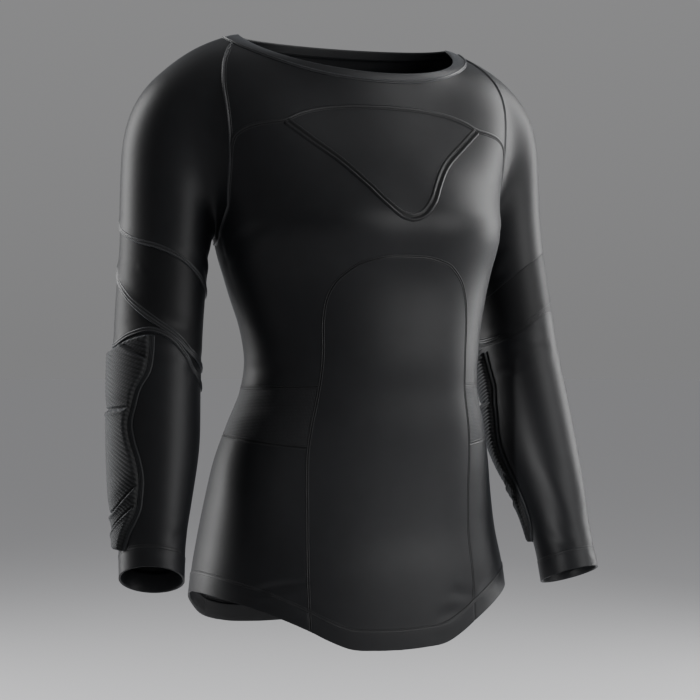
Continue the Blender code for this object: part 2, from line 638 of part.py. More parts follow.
def main():
    for item in list(bpy.data.objects):
        bpy.data.objects.remove(item, do_unlink=True)
    collection = bpy.data.collections.new(NAME)
    bpy.context.scene.collection.children.link(collection)
    raglan_high, raglan_low, raglan_back, neck_front, neck_back = build_body()
    build_neckband(neck_front, neck_back)
    # The armhole runs from under the arm up the front, over the shoulder and down the back.
    shoulder = np.array([[90.0, -BAND_WIDTH]])
    armhole = np.concatenate([
        raglan_low[::-1][:-1], raglan_high[::-1], shoulder, raglan_back[::-1][:-1]])
    for side in ("right", "left"):
        build_sleeve(side, armhole)
        build_pad(side)


main()
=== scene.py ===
# Long-sleeved compression shirt with ribbed forearm pads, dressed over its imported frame.
# Every piece is a surface of two parameters: an angle round the body or a sleeve, and a height.
import bpy
import numpy as np
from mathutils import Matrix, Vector


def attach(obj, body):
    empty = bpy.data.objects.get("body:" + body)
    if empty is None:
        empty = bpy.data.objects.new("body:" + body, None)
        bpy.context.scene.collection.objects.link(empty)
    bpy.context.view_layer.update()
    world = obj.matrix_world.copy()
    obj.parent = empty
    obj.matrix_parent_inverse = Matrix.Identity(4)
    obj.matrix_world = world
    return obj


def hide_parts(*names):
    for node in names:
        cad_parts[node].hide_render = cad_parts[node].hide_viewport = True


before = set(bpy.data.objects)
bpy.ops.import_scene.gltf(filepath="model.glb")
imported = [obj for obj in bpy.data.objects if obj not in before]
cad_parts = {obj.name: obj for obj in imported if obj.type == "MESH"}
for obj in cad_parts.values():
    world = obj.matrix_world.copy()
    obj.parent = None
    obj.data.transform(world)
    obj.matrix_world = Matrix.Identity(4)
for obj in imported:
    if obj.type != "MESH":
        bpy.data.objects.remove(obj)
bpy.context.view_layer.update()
print("frame loaded:", len(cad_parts), "nodes")

# The cut. Lengths in metres, angles in degrees: 0 is the front, 90 the wearer's left or the
# outer side of a sleeve. Heights count down from the neck.
bodyCut = {
    # height, half width, front depth, back depth, centre
    "sections": [
        (-0.680, 0.188, 0.118, 0.132, 0.004),
        (-0.620, 0.184, 0.116, 0.130, 0.004),
        (-0.580, 0.179, 0.114, 0.127, 0.005),
        (-0.540, 0.171, 0.111, 0.122, 0.007),
        (-0.500, 0.164, 0.108, 0.116, 0.004),
        (-0.460, 0.157, 0.105, 0.109, -0.002),
        (-0.420, 0.146, 0.101, 0.101, -0.011),
        (-0.385, 0.1345, 0.097, 0.095, -0.018),
        (-0.355, 0.132, 0.096, 0.092, -0.023),
        (-0.320, 0.136, 0.099, 0.094, -0.021),
        (-0.280, 0.146, 0.105, 0.101, -0.014),
        (-0.240, 0.155, 0.109, 0.106, -0.007),
        (-0.200, 0.1625, 0.110, 0.109, -0.001),
        (-0.190, 0.164, 0.109, 0.109, 0.000),
    ],
    "squareness": 2.2,
    "chestRing": -0.190,         # where the rings end and the shoulder curves begin
    "ringStep": 0.010,           # height below it that shows how the rings lean there
    "neckHalfWidth": 0.128,
    "neckFrontDepth": 0.092,
    "neckBackDepth": 0.037,
    "neckCentre": 0.018,
    "neckFrontDrop": 0.045,
    "neckBackHeight": -0.002,
    "riseFront": 0.060,          # how the shoulder curves leave the chest ring
    "riseSide": 0.060,
    "flareSide": 0.023,
    "slopeOut": 0.006,           # how they come up to the neck
    "slopeOutSide": 0.088,
    "slopeOutBack": 0.012,
    "slopeDown": 0.045,
    "slopeDownSide": 0.023,
    "chestHeight": -0.205,       # chest fullness of a general figure
    "chestLift": 0.034,
    "chestHalfWidth": 0.150,
    "chestHalfHeight": 0.048,
    "chestForward": 0.9,
    "chestWiden": 0.8,
    "chestHollow": 0.12,
    "chestHollowWidth": 0.035,
    "bandWidth": 0.013,
    "perDegree": 0.0026,         # length of one degree round the body
}
band = -bodyCut["bandWidth"]
# Seams on the body as angle and height, down from the neck or out from the middle.
seams = {
    "raglanFront": [
        (80, band), (75, -0.032), (72, -0.055), (70.5, -0.085), (70, -0.115),
        (71, -0.140), (73, -0.160), (78, -0.185), (86, -0.210), (94, -0.225), (101, -0.229),
    ],
    "raglanBack": [
        (101, -0.229), (106, -0.225), (111, -0.210), (114, -0.185), (115, -0.155),
        (115, -0.120), (113, -0.090), (110, -0.060), (106, -0.035), (100, band),
    ],
    "yoke": [
        (0, -0.054), (20, -0.0595), (35, -0.073), (45, -0.091), (51, -0.106),
        (58, -0.117), (64, -0.127), (69.5, -0.140), (73, -0.160),
    ],
    "vee": [
        (51, -0.106), (42.5, -0.120), (30.5, -0.140), (20, -0.166), (12, -0.188),
        (5, -0.2005), (0, -0.2035),
    ],
    "princess": [
        (0, -0.2435), (12, -0.2445), (20, -0.248), (26, -0.252), (32, -0.260), (37.5, -0.270),
        (42, -0.284), (45.5, -0.305), (47.5, -0.340), (48.5, -0.379), (49, -0.443),
        (47.5, -0.480), (45.5, -0.540), (45, -0.580), (44, -0.6325),
    ],
    "side": [
        (101, -0.229), (112, -0.270), (121, -0.320), (127, -0.379), (129, -0.434),
        (128, -0.500), (126, -0.570), (125, -0.636),
    ],
    "waistUpper": [(48.5, -0.379), (70, -0.380), (97, -0.381), (127, -0.379)],
    "waistLower": [(49, -0.443), (60, -0.440), (85, -0.434), (105, -0.432), (129, -0.434)],
    "hem": [
        (0, -0.656), (14, -0.655), (27, -0.652), (37, -0.642), (44, -0.6325), (54, -0.620),
        (64, -0.609), (76, -0.601), (89, -0.598), (100, -0.601), (112, -0.615), (125, -0.636),
        (138, -0.646), (155, -0.651), (180, -0.652),
    ],
}
sleeveCut = {
    # height, centre across, centre ahead, half width, half depth, for the arm at +X
    "sections": [
        (-0.130, 0.2035, 0.034, 0.0490, 0.054),
        (-0.190, 0.2060, 0.033, 0.0490, 0.053),
        (-0.225, 0.2090, 0.029, 0.0475, 0.051),
        (-0.260, 0.2130, 0.026, 0.0470, 0.051),
        (-0.300, 0.2180, 0.022, 0.0465, 0.051),
        (-0.340, 0.2225, 0.016, 0.0460, 0.050),
        (-0.388, 0.2285, 0.005, 0.0455, 0.048),
        (-0.442, 0.2350, -0.008, 0.0435, 0.046),
        (-0.496, 0.2425, -0.022, 0.0390, 0.0415),
        (-0.539, 0.2480, -0.033, 0.0345, 0.0360),
        (-0.562, 0.2505, -0.039, 0.0335, 0.0345),
        (-0.620, 0.2560, -0.051, 0.0335, 0.0345),
    ],
    "fullAngle": 225,            # the forearm is fuller behind and inside
    "fullHeight": -0.445,
    "fullOut": 0.010,
    "fullSpread": 55,
    "fullLength": 0.055,
    "armholeRing": 0.1925,       # where the head turns to a tube
    "armholeSlant": 0.0525,
    "headFullness": 1.36,        # how strongly the head leaves the seam at the underarm
    "headFullnessTop": 1.55,     # and at the shoulder
    "headFall": 1.15,
    "headEvenSpread": 0.9,       # how its shape is evened round the arm below the seam
    "headEvenFrom": 0.4,
    "headLength": 0.15,          # rough, for the number of its rows
    "perDegree": 0.00082,
    # angle, then the seam heights at the wrap's top, its bottom, and the elbow panel's bottom
    "right": [
        (-90, -0.286, -0.363, -0.384), (-60, -0.279, -0.357, -0.377),
        (-30, -0.262, -0.345, -0.359), (0, -0.245, -0.326, -0.332),
        (30, -0.233, -0.309, -0.3195), (60, -0.226, -0.291, -0.324),
        (90, -0.216, -0.271, -0.334), (120, -0.203, -0.252, -0.337),
        (150, -0.214, -0.262, -0.339), (180, -0.236, -0.290, -0.343),
        (210, -0.262, -0.325, -0.356), (240, -0.280, -0.352, -0.374),
    ],
    "left": [
        (-90, -0.286, -0.330, -0.338), (-60, -0.279, -0.3255, -0.333),
        (-30, -0.262, -0.3155, -0.3225), (0, -0.245, -0.301, -0.308),
        (30, -0.233, -0.290, -0.2975), (60, -0.226, -0.283, -0.304),
        (90, -0.216, -0.273, -0.333), (120, -0.203, -0.264, -0.337),
        (150, -0.214, -0.264, -0.339), (180, -0.236, -0.280, -0.341),
        (210, -0.262, -0.300, -0.343), (240, -0.280, -0.320, -0.344),
    ],
    # angle, then how strongly each of the three seams stands out there
    "seamShares": {
        "right": [(-90, 1, 1, 1), (180, 1, 1, 1)],
        "left": [(-90, 0.4, 0.9, 0.5), (-72, 0.1, 0.9, 0.1), (-55, 0, 0.4, 0), (-38, 0, 0.05, 0),
                 (0, 0, 0.05, 0), (25, 0, 0.35, 0), (50, 0, 0.45, 0), (75, 0.4, 0.8, 0.5),
                 (105, 1, 1, 1), (180, 1, 1, 1), (240, 1, 1, 1)],
    },
    "cuffs": {
        "right": {"height": -0.5765, "tilt": 0.0170, "towards": 27},
        "left": {"height": -0.5960, "tilt": 0.0120, "towards": 15},
    },
}
cloth = {
    "thickness": 0.0009,
    "pitch": 0.0034,             # size of the mesh's squares on the body and on the sleeves
    "sleevePitch": 0.0033,
    "edgeSteps": (0, 0.0008, 0.0017, 0.0028, 0.0045),    # closer rows beside every seam
    "leastSteps": 4,
    "neckSteps": 160,
    "seamDip": 0.0006,           # how far a panel's edge sinks under its seam
    "dipWidth": 0.0014,
    "turning": 0.0205,           # height of the turned hem and cuffs
    "turnRadius": 0.0009,
    "turnFoldRows": 4,
    "turnRows": 8,               # rows up the inside, the first this far above the fold
    "turnStart": 0.0015,
    "turnAim": 0.002,            # rise that shows which way is up at the fold
    "turnGap": 0.0003,
    "hemProud": 0.0004,          # how far the two layers stand out, and how softly that ends
    "hemProudWidth": 0.0008,
    "sleeveColumns": 6,          # for each of the 22 steps round the armhole
    "steps": {                   # how far each sleeve piece stands out at its top and bottom edge
        "sleeve_upper": (0.0, 0.0009), "elbow_wrap": (-0.0003, 0.0013),
        "elbow_panel": (-0.0004, 0.0007), "forearm": (-0.0003, 0.0),
    },
    "stepWidth": 0.0065,
    "sleeveSlots": ("jersey", "elbow_cloth", "elbow_cloth", "jersey"),    # in the same order
}
# Small steps, in degrees and metres, that show how a surface lies.
probe = {"bodyAngle": 0.4, "armAngle": 0.5, "height": 0.001}


def flow(places, values, at):
    # Smooth curve through the rows: cubic pieces whose slopes are averaged at each row.
    places, values, at = (np.asarray(item, float) for item in (places, values, at))
    order = np.argsort(places)
    places, values = places[order], values[order]
    step = np.diff(places)
    rise = np.diff(values) / step
    slope = np.empty_like(values)
    slope[1:-1] = (rise[:-1] * step[1:] + rise[1:] * step[:-1]) / (step[:-1] + step[1:])
    slope[0], slope[-1] = rise[0], rise[-1]
    row = np.clip(np.searchsorted(places, at) - 1, 0, len(step) - 1)
    t = np.clip((at - places[row]) / step[row], 0, 1)
    start = (1 + 2 * t) * (1 - t) ** 2 * values[row]
    startSlope = t * (1 - t) ** 2 * step[row] * slope[row]
    end = t * t * (3 - 2 * t) * values[row + 1]
    endSlope = t * t * (t - 1) * step[row] * slope[row + 1]
    return start + startSlope + end + endSlope


def column(table, index, at):
    # One column of a table, read smoothly at any height.
    rows = np.array(table, float)
    return flow(rows[:, 0], rows[:, index], at)


def columnRound(table, index, angle):
    # The same for a table that goes once round.
    rows = np.array(table, float)
    places = np.concatenate([rows[:, 0] - 360, rows[:, 0], rows[:, 0] + 360])
    return flow(places, np.tile(rows[:, index], 3), (np.asarray(angle, float) + 90) % 360 - 90)


def unit(vectors):
    # Each vector over its length.
    return vectors / np.maximum(np.linalg.norm(vectors, axis=-1, keepdims=True), 1e-12)


def bell(distance, width):
    # 1 in the middle, falling as exp(-(distance / width)^2).
    return np.exp(-(distance / width) ** 2)


def summed(lengths):
    # Running total that starts at zero.
    return np.concatenate([[0], np.cumsum(lengths)])


def bodyRing(turn, height):
    # Superellipse: (|x| / a)^p + (|y| / b)^p = 1, with its own depth in front and behind.
    halfWidth, front, back, centre = (
        column(bodyCut["sections"], index, height) for index in (1, 2, 3, 4))
    across, ahead = np.sin(turn), np.cos(turn)
    depth = np.where(ahead > 0, front, back)
    power = bodyCut["squareness"]
    total = np.abs(across / halfWidth) ** power + np.abs(ahead / depth) ** power
    radius = total ** (-1 / power)
    return np.stack([radius * across, centre - radius * ahead, height + 0 * turn], -1)


def neckEdge(turn):
    # Half ellipses in front and behind, the front one dropping towards its middle.
    across, ahead = np.sin(turn), np.cos(turn)
    depth = np.where(ahead > 0, bodyCut["neckFrontDepth"], bodyCut["neckBackDepth"])
    drop = np.where(ahead > 0, bodyCut["neckFrontDrop"], bodyCut["neckBackHeight"])
    y = bodyCut["neckCentre"] - depth * ahead
    return np.stack([bodyCut["neckHalfWidth"] * across, y, -drop * ahead], -1)


def bodyPoint(angle, height):
    # Rings up to the chest, then a Bezier curve at each angle up to the neck edge, and the
    # chest's fullness added as exp(-(x/w)^4 - (dz/h)^2) forwards and sideways.
    angle, height = np.broadcast_arrays(np.asarray(angle, float), np.asarray(height, float))
    turn = np.radians(angle)
    ringHeight, ringStep = bodyCut["chestRing"], bodyCut["ringStep"]
    ring = bodyRing(turn, np.minimum(height, ringHeight))
    low = bodyRing(turn, np.full_like(height, ringHeight))
    climb = (low - bodyRing(turn, np.full_like(height, ringHeight - ringStep))) / ringStep
    top = neckEdge(turn)
    side = np.abs(np.sin(turn))[..., None] ** 4
    behind = np.clip(-np.cos(turn), 0, 1)[..., None]
    outward = np.stack([np.sin(turn), -np.cos(turn), 0 * turn], -1)
    leave = low + climb * (bodyCut["riseFront"] + bodyCut["riseSide"] * side)
    leave = leave + outward * bodyCut["flareSide"] * side
    run = bodyCut["slopeOut"] + bodyCut["slopeOutSide"] * side + bodyCut["slopeOutBack"] * behind
    fall = bodyCut["slopeDown"] - bodyCut["slopeDownSide"] * side
    arrive = top + outward * run - np.array([0, 0, 1.0]) * fall
    t = np.clip((height - ringHeight) / -ringHeight, 0, 1)[..., None]
    curve = (1 - t) ** 3 * low + 3 * t * (1 - t) ** 2 * leave
    curve = curve + 3 * t * t * (1 - t) * arrive + t ** 3 * top
    point = np.where((height > ringHeight)[..., None], curve, ring).copy()
    x, z = point[..., 0], point[..., 2]
    wide = bodyCut["chestHalfWidth"]
    above = (z - bodyCut["chestHeight"]) / bodyCut["chestHalfHeight"]
    spread = np.exp(-(x / wide) ** 4 - above ** 2)
    lift = bodyCut["chestLift"] * spread * np.clip(np.cos(turn), 0, 1) ** 0.5
    lift = lift * (1 - bodyCut["chestHollow"] * bell(x, bodyCut["chestHollowWidth"]))
    point[..., 1] -= bodyCut["chestForward"] * lift
    point[..., 0] += bodyCut["chestWiden"] * lift * np.clip(x / wide, -1, 1)
    return point


def bodyNormal(angle, height):
    # Square to the steps round and up.
    aside, rise = probe["bodyAngle"], probe["height"]
    angle, height = np.asarray(angle, float), np.minimum(height, -rise)
    along = bodyPoint(angle + aside, height) - bodyPoint(angle - aside, height)
    up = bodyPoint(angle, height + rise) - bodyPoint(angle, height - rise)
    return unit(np.cross(along, up))


def armPoint(angle, height):
    # Ellipse round a leaning line, fuller behind the forearm.
    angle, height = np.broadcast_arrays(np.asarray(angle, float), np.asarray(height, float))
    x, y, width, depth = (column(sleeveCut["sections"], index, height) for index in (1, 2, 3, 4))
    away = (angle - sleeveCut["fullAngle"] + 180) % 360 - 180
    full = sleeveCut["fullOut"] * bell(away, sleeveCut["fullSpread"])
    full = full * bell(height - sleeveCut["fullHeight"], sleeveCut["fullLength"])
    turn = np.radians(angle)
    return np.stack([x + (width + full) * np.sin(turn), y - (depth + full) * np.cos(turn), height], -1)


def armNormal(angle, height):
    # The same for the arm.
    aside, rise = probe["armAngle"], probe["height"]
    along = armPoint(angle + aside, height) - armPoint(angle - aside, height)
    up = armPoint(angle, height + rise) - armPoint(angle, height - rise)
    return unit(np.cross(along, up))


def stepLengths(run):
    # Length on the body's cloth of each step of a run of angles and heights.
    return np.linalg.norm(np.diff(run, axis=0) * (bodyCut["perDegree"], 1.0), axis=1)


def seamRun(name, first, last, count, side=1, turn=0):
    # Points along a seam from one of its knots to another. side -1 gives the wearer's right,
    # with turn 360 where the angles go on past the middle of the back.
    knots = np.array(seams[name], float)
    place = summed(stepLengths(knots))
    at = np.linspace(place[first], place[last], count + 1)
    angle = flow(place, knots[:, 0], at)
    return np.stack([turn + side * angle, flow(place, knots[:, 1], at)], -1)


def joined(*runs):
    # One run out of several that follow each other.
    return np.concatenate([run[:-1] for run in runs[:-1]] + [runs[-1]])


def resampled(run, at):
    # The run read at shares of its length on the cloth.
    place = summed(stepLengths(run))
    place = place / place[-1]
    return np.stack([np.interp(at, place, run[:, k]) for k in range(run.shape[1])], -1)


def shares(length, pitch):
    # Even steps with a few short ones at both ends, where the cloth dips into its seams.
    ends = np.array(cloth["edgeSteps"]) / length
    count = max(cloth["leastSteps"], int(length * (1 - 2 * ends[-1]) / pitch))
    middle = np.linspace(ends[-1], 1 - ends[-1], count + 1)
    return np.concatenate([ends[:-1], middle, 1 - ends[-2::-1]])


def patch(bottom, top, left, right, pitch):
    # Surface between four runs: the two pairs are blended and their shared corners taken off.
    u = shares((stepLengths(bottom).sum() + stepLengths(top).sum()) / 2, pitch)
    v = shares((stepLengths(left).sum() + stepLengths(right).sum()) / 2, pitch)
    low, high = resampled(bottom, u)[None], resampled(top, u)[None]
    near, far = resampled(left, v)[:, None], resampled(right, v)[:, None]
    u, v = u[None, :, None], v[:, None, None]
    corners = (1 - v) * ((1 - u) * low[:, :1] + u * low[:, -1:])
    corners = corners + v * ((1 - u) * high[:, :1] + u * high[:, -1:])
    return (1 - v) * low + v * high + (1 - u) * near + u * far - corners


def gridQuads(rows, columns, closed):
    # Corner numbers of each square, row by row.
    low = np.arange(rows - 1)[:, None] * columns
    left = np.arange(columns if closed else columns - 1)[None]
    right = (left + 1) % columns
    quads = np.stack([low + left, low + right, low + columns + right, low + columns + left], -1)
    return quads.reshape(-1, 4)


def gridPlaces(places, closed):
    # Cloth places for each corner of each square, in metres, without a jump where a ring closes.
    if closed:
        gap = places[:, 1:2] - places[:, :1]
        places = np.concatenate([places, places[:, -1:] + gap], axis=1)
    corners = [places[:-1, :-1], places[:-1, 1:], places[1:, 1:], places[1:, :-1]]
    return np.stack(corners, -2).reshape(-1, 2)


def meshPiece(name, points, faces, places, finish, extra=None):
    # A mesh object from whole arrays: one array of faces for each number of corners, the cloth
    # places of their corners in the same order, and named values of each point in extra.
    corners = np.concatenate([group.ravel() for group in faces])
    sizes = np.concatenate([np.full(len(group), group.shape[1]) for group in faces])
    mesh = bpy.data.meshes.new(name)
    mesh.vertices.add(len(points))
    mesh.vertices.foreach_set("co", np.asarray(points, np.float32).ravel())
    mesh.loops.add(len(corners))
    mesh.loops.foreach_set("vertex_index", corners.astype(np.int32))
    mesh.polygons.add(len(sizes))
    mesh.polygons.foreach_set("loop_start", (np.cumsum(sizes) - sizes).astype(np.int32))
    mesh.polygons.foreach_set("use_smooth", np.ones(len(sizes), bool))
    layer = mesh.uv_layers.new(name="cloth")
    layer.data.foreach_set("uv", np.asarray(places, np.float32).ravel())
    for key, values in (extra or {}).items():
        attribute = mesh.attributes.new(key, "FLOAT", "POINT")
        attribute.data.foreach_set("value", np.asarray(values, np.float32).ravel())
    mesh.update(calc_edges=True)
    mesh.materials.append(finish)
    piece = bpy.data.objects.new(name, mesh)
    bpy.context.scene.collection.objects.link(piece)
    return piece


def wallPiece(name, grid, places, closed, finish):
    # A cloth wall on the grid, thickened inwards, with its flat cloth places as its UV.
    rows, columns = grid.shape[:2]
    piece = meshPiece(name, grid.reshape(-1, 3), [gridQuads(rows, columns, closed)],
                      gridPlaces(places, closed), finish)
    wall = piece.modifiers.new("wall", "SOLIDIFY")
    wall.thickness = cloth["thickness"]
    wall.offset = -1
    return piece


# Creases, listed one by one: soft troughs (depth below zero) and ridges (above), in metres.
# zone, then angle and height of each end, how far the middle bows down, width, depth
creases = [
    ("body", 60, -0.205, 88, -0.236, 0.004, 0.0060, -0.0012),
    ("body", 64, -0.222, 92, -0.246, 0.003, 0.0055, -0.0009),
    ("body", -60, -0.205, -88, -0.236, 0.003, 0.0060, -0.0013),
    ("body", -66, -0.224, -94, -0.250, 0.004, 0.0055, -0.0010),
    ("body", 108, -0.240, 134, -0.268, 0.004, 0.0070, -0.0012),
    ("body", -106, -0.238, -136, -0.262, 0.004, 0.0070, -0.0012),
    ("body", -60, -0.352, -100, -0.362, 0.004, 0.0060, -0.0007),
    ("body", -58, -0.398, -96, -0.410, -0.003, 0.0060, -0.0007),
    ("body", 62, -0.360, 104, -0.352, 0.004, 0.0060, -0.0007),
    ("body", 64, -0.402, 100, -0.395, 0.003, 0.0060, -0.0006),
    ("body", 150, -0.345, 205, -0.352, 0.006, 0.0090, -0.0012),
    ("body", 158, -0.372, 214, -0.366, 0.005, 0.0085, -0.0010),
    ("body", 146, -0.402, 196, -0.410, -0.004, 0.0090, -0.0008),
    ("body", 140, -0.030, 197, -0.036, 0.004, 0.0045, 0.0009),       # under the back of the neck
    ("body", 168, -0.041, 221, -0.045, 0.003, 0.0050, 0.0007),
    ("body", 128, -0.175, 158, -0.215, 0.006, 0.0110, -0.0012),      # below the shoulder blades
    ("body", -129, -0.168, -155, -0.222, 0.005, 0.0100, -0.0011),
    ("body", -66, -0.594, -44, -0.584, -0.003, 0.0038, -0.0022),     # hem, on the wearer's right
    ("body", -52, -0.600, -38, -0.6205, 0.002, 0.0050, -0.0009),
    ("body", -70, -0.604, -56, -0.612, 0.002, 0.0040, 0.0007),
    ("body", 30, -0.596, 46, -0.604, 0.003, 0.0060, -0.0014),
    ("body", 20, -0.622, 41, -0.612, 0.004, 0.0060, -0.0008),        # and on the left
    ("body", 48, -0.600, 60, -0.588, 0.002, 0.0045, -0.0008),
    ("body", 104, -0.596, 128, -0.622, 0.004, 0.0070, -0.0009),
    ("body", -108, -0.592, -131, -0.616, -0.003, 0.0065, -0.0008),
    ("body", 150, -0.628, 176, -0.618, 0.003, 0.0070, -0.0008),
    ("right", -84, -0.246, -30, -0.226, 0.004, 0.0060, -0.0011),     # under the arms
    ("right", -70, -0.268, -38, -0.248, 0.003, 0.0050, -0.0008),
    ("left", -86, -0.244, -26, -0.222, 0.004, 0.0060, -0.0012),
    ("left", -62, -0.262, -28, -0.250, 0.003, 0.0050, -0.0007),
    ("right", -62, -0.318, 18, -0.306, 0.006, 0.0070, -0.0012),      # in the crooks of the elbows
    ("right", -40, -0.338, 34, -0.330, 0.004, 0.0060, -0.0010),
    ("right", -78, -0.352, -14, -0.366, -0.004, 0.0060, -0.0009),
    ("left", -64, -0.310, 14, -0.318, 0.005, 0.0065, -0.0012),
    ("left", -50, -0.342, 22, -0.334, 0.004, 0.0065, -0.0011),
    ("left", -72, -0.364, -20, -0.352, 0.003, 0.0050, -0.0008),
    ("right", 42, -0.258, 58, -0.252, 0.001, 0.0030, 0.0006),        # small pucker in the wrap
    ("right", -60, -0.520, -8, -0.532, 0.003, 0.0055, -0.0008),      # above the cuffs
    ("right", -20, -0.546, 30, -0.540, 0.002, 0.0045, -0.0007),
    ("left", -34, -0.470, -4, -0.545, 0.000, 0.0100, 0.0009),
    ("left", -66, -0.548, -10, -0.560, 0.003, 0.0055, -0.0008),
    ("left", 20, -0.568, 70, -0.562, 0.002, 0.0050, -0.0007),
]
creaseShape = {
    "points": 14,
    "reach": 3.5,                # widths to each side beyond which a crease does nothing
    "shoulderPlace": 1.9,        # of the low rise beside a trough, in widths
    "shoulderShare": 0.35,
    "taperPower": 0.8,
}


def turnedSide(side):
    # Factors that mirror the arm at +X where it is the wearer's right one.
    return np.array([-1.0, 1, 1]) if side == "right" else np.ones(3)


def zonePoint(zone, angle, height):
    # A point on the plain surface of the body or of a sleeve, before creases.
    if zone == "body":
        return bodyPoint(angle, height)
    return armPoint(angle, height) * turnedSide(zone)


def creaseLift(points, zone):
    # For each crease: depth times a bell across it, with low shoulders beside the trough,
    # times a taper that fades it out at both ends.
    lift = np.zeros(points.shape[:-1])
    flat, out = points.reshape(-1, 3), lift.reshape(-1)
    for place, angle0, height0, angle1, height1, bow, width, depth in creases:
        if place != zone:
            continue
        t = np.linspace(0, 1, creaseShape["points"])
        height = height0 + (height1 - height0) * t - bow * 4 * t * (1 - t)
        path = zonePoint(zone, angle0 + (angle1 - angle0) * t, height)
        reach = creaseShape["reach"] * width
        near = ((flat > path.min(0) - reach) & (flat < path.max(0) + reach)).all(1)
        if not near.any():
            continue
        side = path[1:] - path[:-1]
        offset = flat[near][:, None] - path[:-1]
        along = np.clip((offset * side).sum(-1) / (side ** 2).sum(-1), 0, 1)
        distance = np.linalg.norm(offset - along[..., None] * side, axis=-1)
        nearest = distance.argmin(axis=1)
        pick = np.arange(len(nearest))
        q = distance[pick, nearest] / width
        share = (nearest + along[pick, nearest]) / len(side)
        taper = np.clip(4 * share * (1 - share), 0, 1) ** creaseShape["taperPower"]
        shoulder = creaseShape["shoulderShare"] * np.exp(-(q - creaseShape["shoulderPlace"]) ** 2)
        out[near] += depth * taper * (np.exp(-q ** 2) - shoulder)
    return lift


def clothPoint(zone, angle, height, lift=0.0):
    # The same surface with its creases, moved out by lift, and its normal.
    point = zonePoint(zone, angle, height)
    if zone == "body":
        normal = bodyNormal(angle, height)
    else:
        normal = armNormal(angle, height) * turnedSide(zone)
    return point + normal * (creaseLift(point, zone) + lift)[..., None], normal


def edgeDistance(grid):
    # Distance of each grid point from the bottom, top, left and right edges, along the cloth.
    up = np.linalg.norm(np.diff(grid, axis=0), axis=-1)
    up = np.concatenate([np.zeros((1, grid.shape[1])), np.cumsum(up, axis=0)])
    over = np.linalg.norm(np.diff(grid, axis=1), axis=-1)
    over = np.concatenate([np.zeros((grid.shape[0], 1)), np.cumsum(over, axis=1)], axis=1)
    return up, up[-1:] - up, over, over[:, -1:] - over


def node(tree, kind, **values):
    # A new node of that kind with its properties set.
    made = tree.nodes.new(kind)
    for key, value in values.items():
        setattr(made, key, value)
    return made


# One wave for each stitch needs a scale of two pi over twenty.
knitting = {"waveScale": 0.3142, "sheenTint": (0.80, 0.88, 1.0, 1.0), "mottleDetail": 6}


def multiplied(tree, colour, value, factor):
    # The colour times the value, as strongly as the factor says.
    mix = node(tree, "ShaderNodeMix", data_type="RGBA", blend_type="MULTIPLY")
    mix.inputs["Factor"].default_value = factor
    tree.links.new(colour, mix.inputs["A"])
    tree.links.new(value, mix.inputs["B"])
    return mix.outputs["Result"]


def clothFinish(name, look):
    # Knitted cloth: fine stitches from the piece's own cloth places, soft unevenness of colour
    # and sheen from noise, all in metres, and painted shade where the look has a groove weight.
    finish = bpy.data.materials.new(name)
    finish.use_nodes = True
    tree = finish.node_tree
    shader = tree.nodes["Principled BSDF"]
    shader.inputs["Roughness"].default_value = look["roughness"]
    shader.inputs["Sheen Weight"].default_value = look["sheen"]
    shader.inputs["Sheen Roughness"].default_value = look["sheenRoughness"]
    shader.inputs["Sheen Tint"].default_value = knitting["sheenTint"]
    shader.inputs["Specular IOR Level"].default_value = look["specular"]
    places = node(tree, "ShaderNodeUVMap", uv_map="cloth")
    scaled = node(tree, "ShaderNodeMapping")
    scaled.inputs["Scale"].default_value = (1 / look["wale"], 1 / look["course"], 1)
    tree.links.new(places.outputs["UV"], scaled.inputs["Vector"])
    wales = node(tree, "ShaderNodeTexWave", wave_type="BANDS", bands_direction="X")
    courses = node(tree, "ShaderNodeTexWave", wave_type="BANDS", bands_direction="Y")
    for wave in (wales, courses):
        wave.inputs["Scale"].default_value = knitting["waveScale"]
        wave.inputs["Distortion"].default_value = 0.0
        tree.links.new(scaled.outputs["Vector"], wave.inputs["Vector"])
    knit = node(tree, "ShaderNodeMath", operation="MULTIPLY")
    tree.links.new(wales.outputs["Fac"], knit.inputs[0])
    tree.links.new(courses.outputs["Fac"], knit.inputs[1])
    room = node(tree, "ShaderNodeTexCoord")
    mottle = node(tree, "ShaderNodeTexNoise")
    mottle.inputs["Scale"].default_value = look["mottleScale"]
    mottle.inputs["Detail"].default_value = knitting["mottleDetail"]
    tree.links.new(room.outputs["Object"], mottle.inputs["Vector"])
    blend = node(tree, "ShaderNodeMix", data_type="RGBA")
    blend.inputs["A"].default_value = (*look["dark"], 1)
    blend.inputs["B"].default_value = (*look["light"], 1)
    tree.links.new(mottle.outputs["Fac"], blend.inputs["Factor"])
    colour = multiplied(tree, blend.outputs["Result"], knit.outputs["Value"], look["knitShade"])
    # Painted shade: the colour is darkened by the point attribute groove, which is high in the seams'
    # grooves and on the pads' rib grooves, bends and sides, where shade falls.
    if "groove" in look:
        depth = node(tree, "ShaderNodeAttribute", attribute_name="groove")
        shade = node(tree, "ShaderNodeMath", operation="MULTIPLY_ADD", use_clamp=True)
        shade.inputs[1].default_value = -look["groove"]
        shade.inputs[2].default_value = 1.0
        tree.links.new(depth.outputs["Fac"], shade.inputs[0])
        colour = multiplied(tree, colour, shade.outputs["Value"], 1.0)
    tree.links.new(colour, shader.inputs["Base Color"])
    bump = node(tree, "ShaderNodeBump")
    bump.inputs["Strength"].default_value = look["bump"]
    bump.inputs["Distance"].default_value = look["knitDepth"]
    tree.links.new(knit.outputs["Value"], bump.inputs["Height"])
    tree.links.new(bump.outputs["Normal"], shader.inputs["Normal"])
    return finish
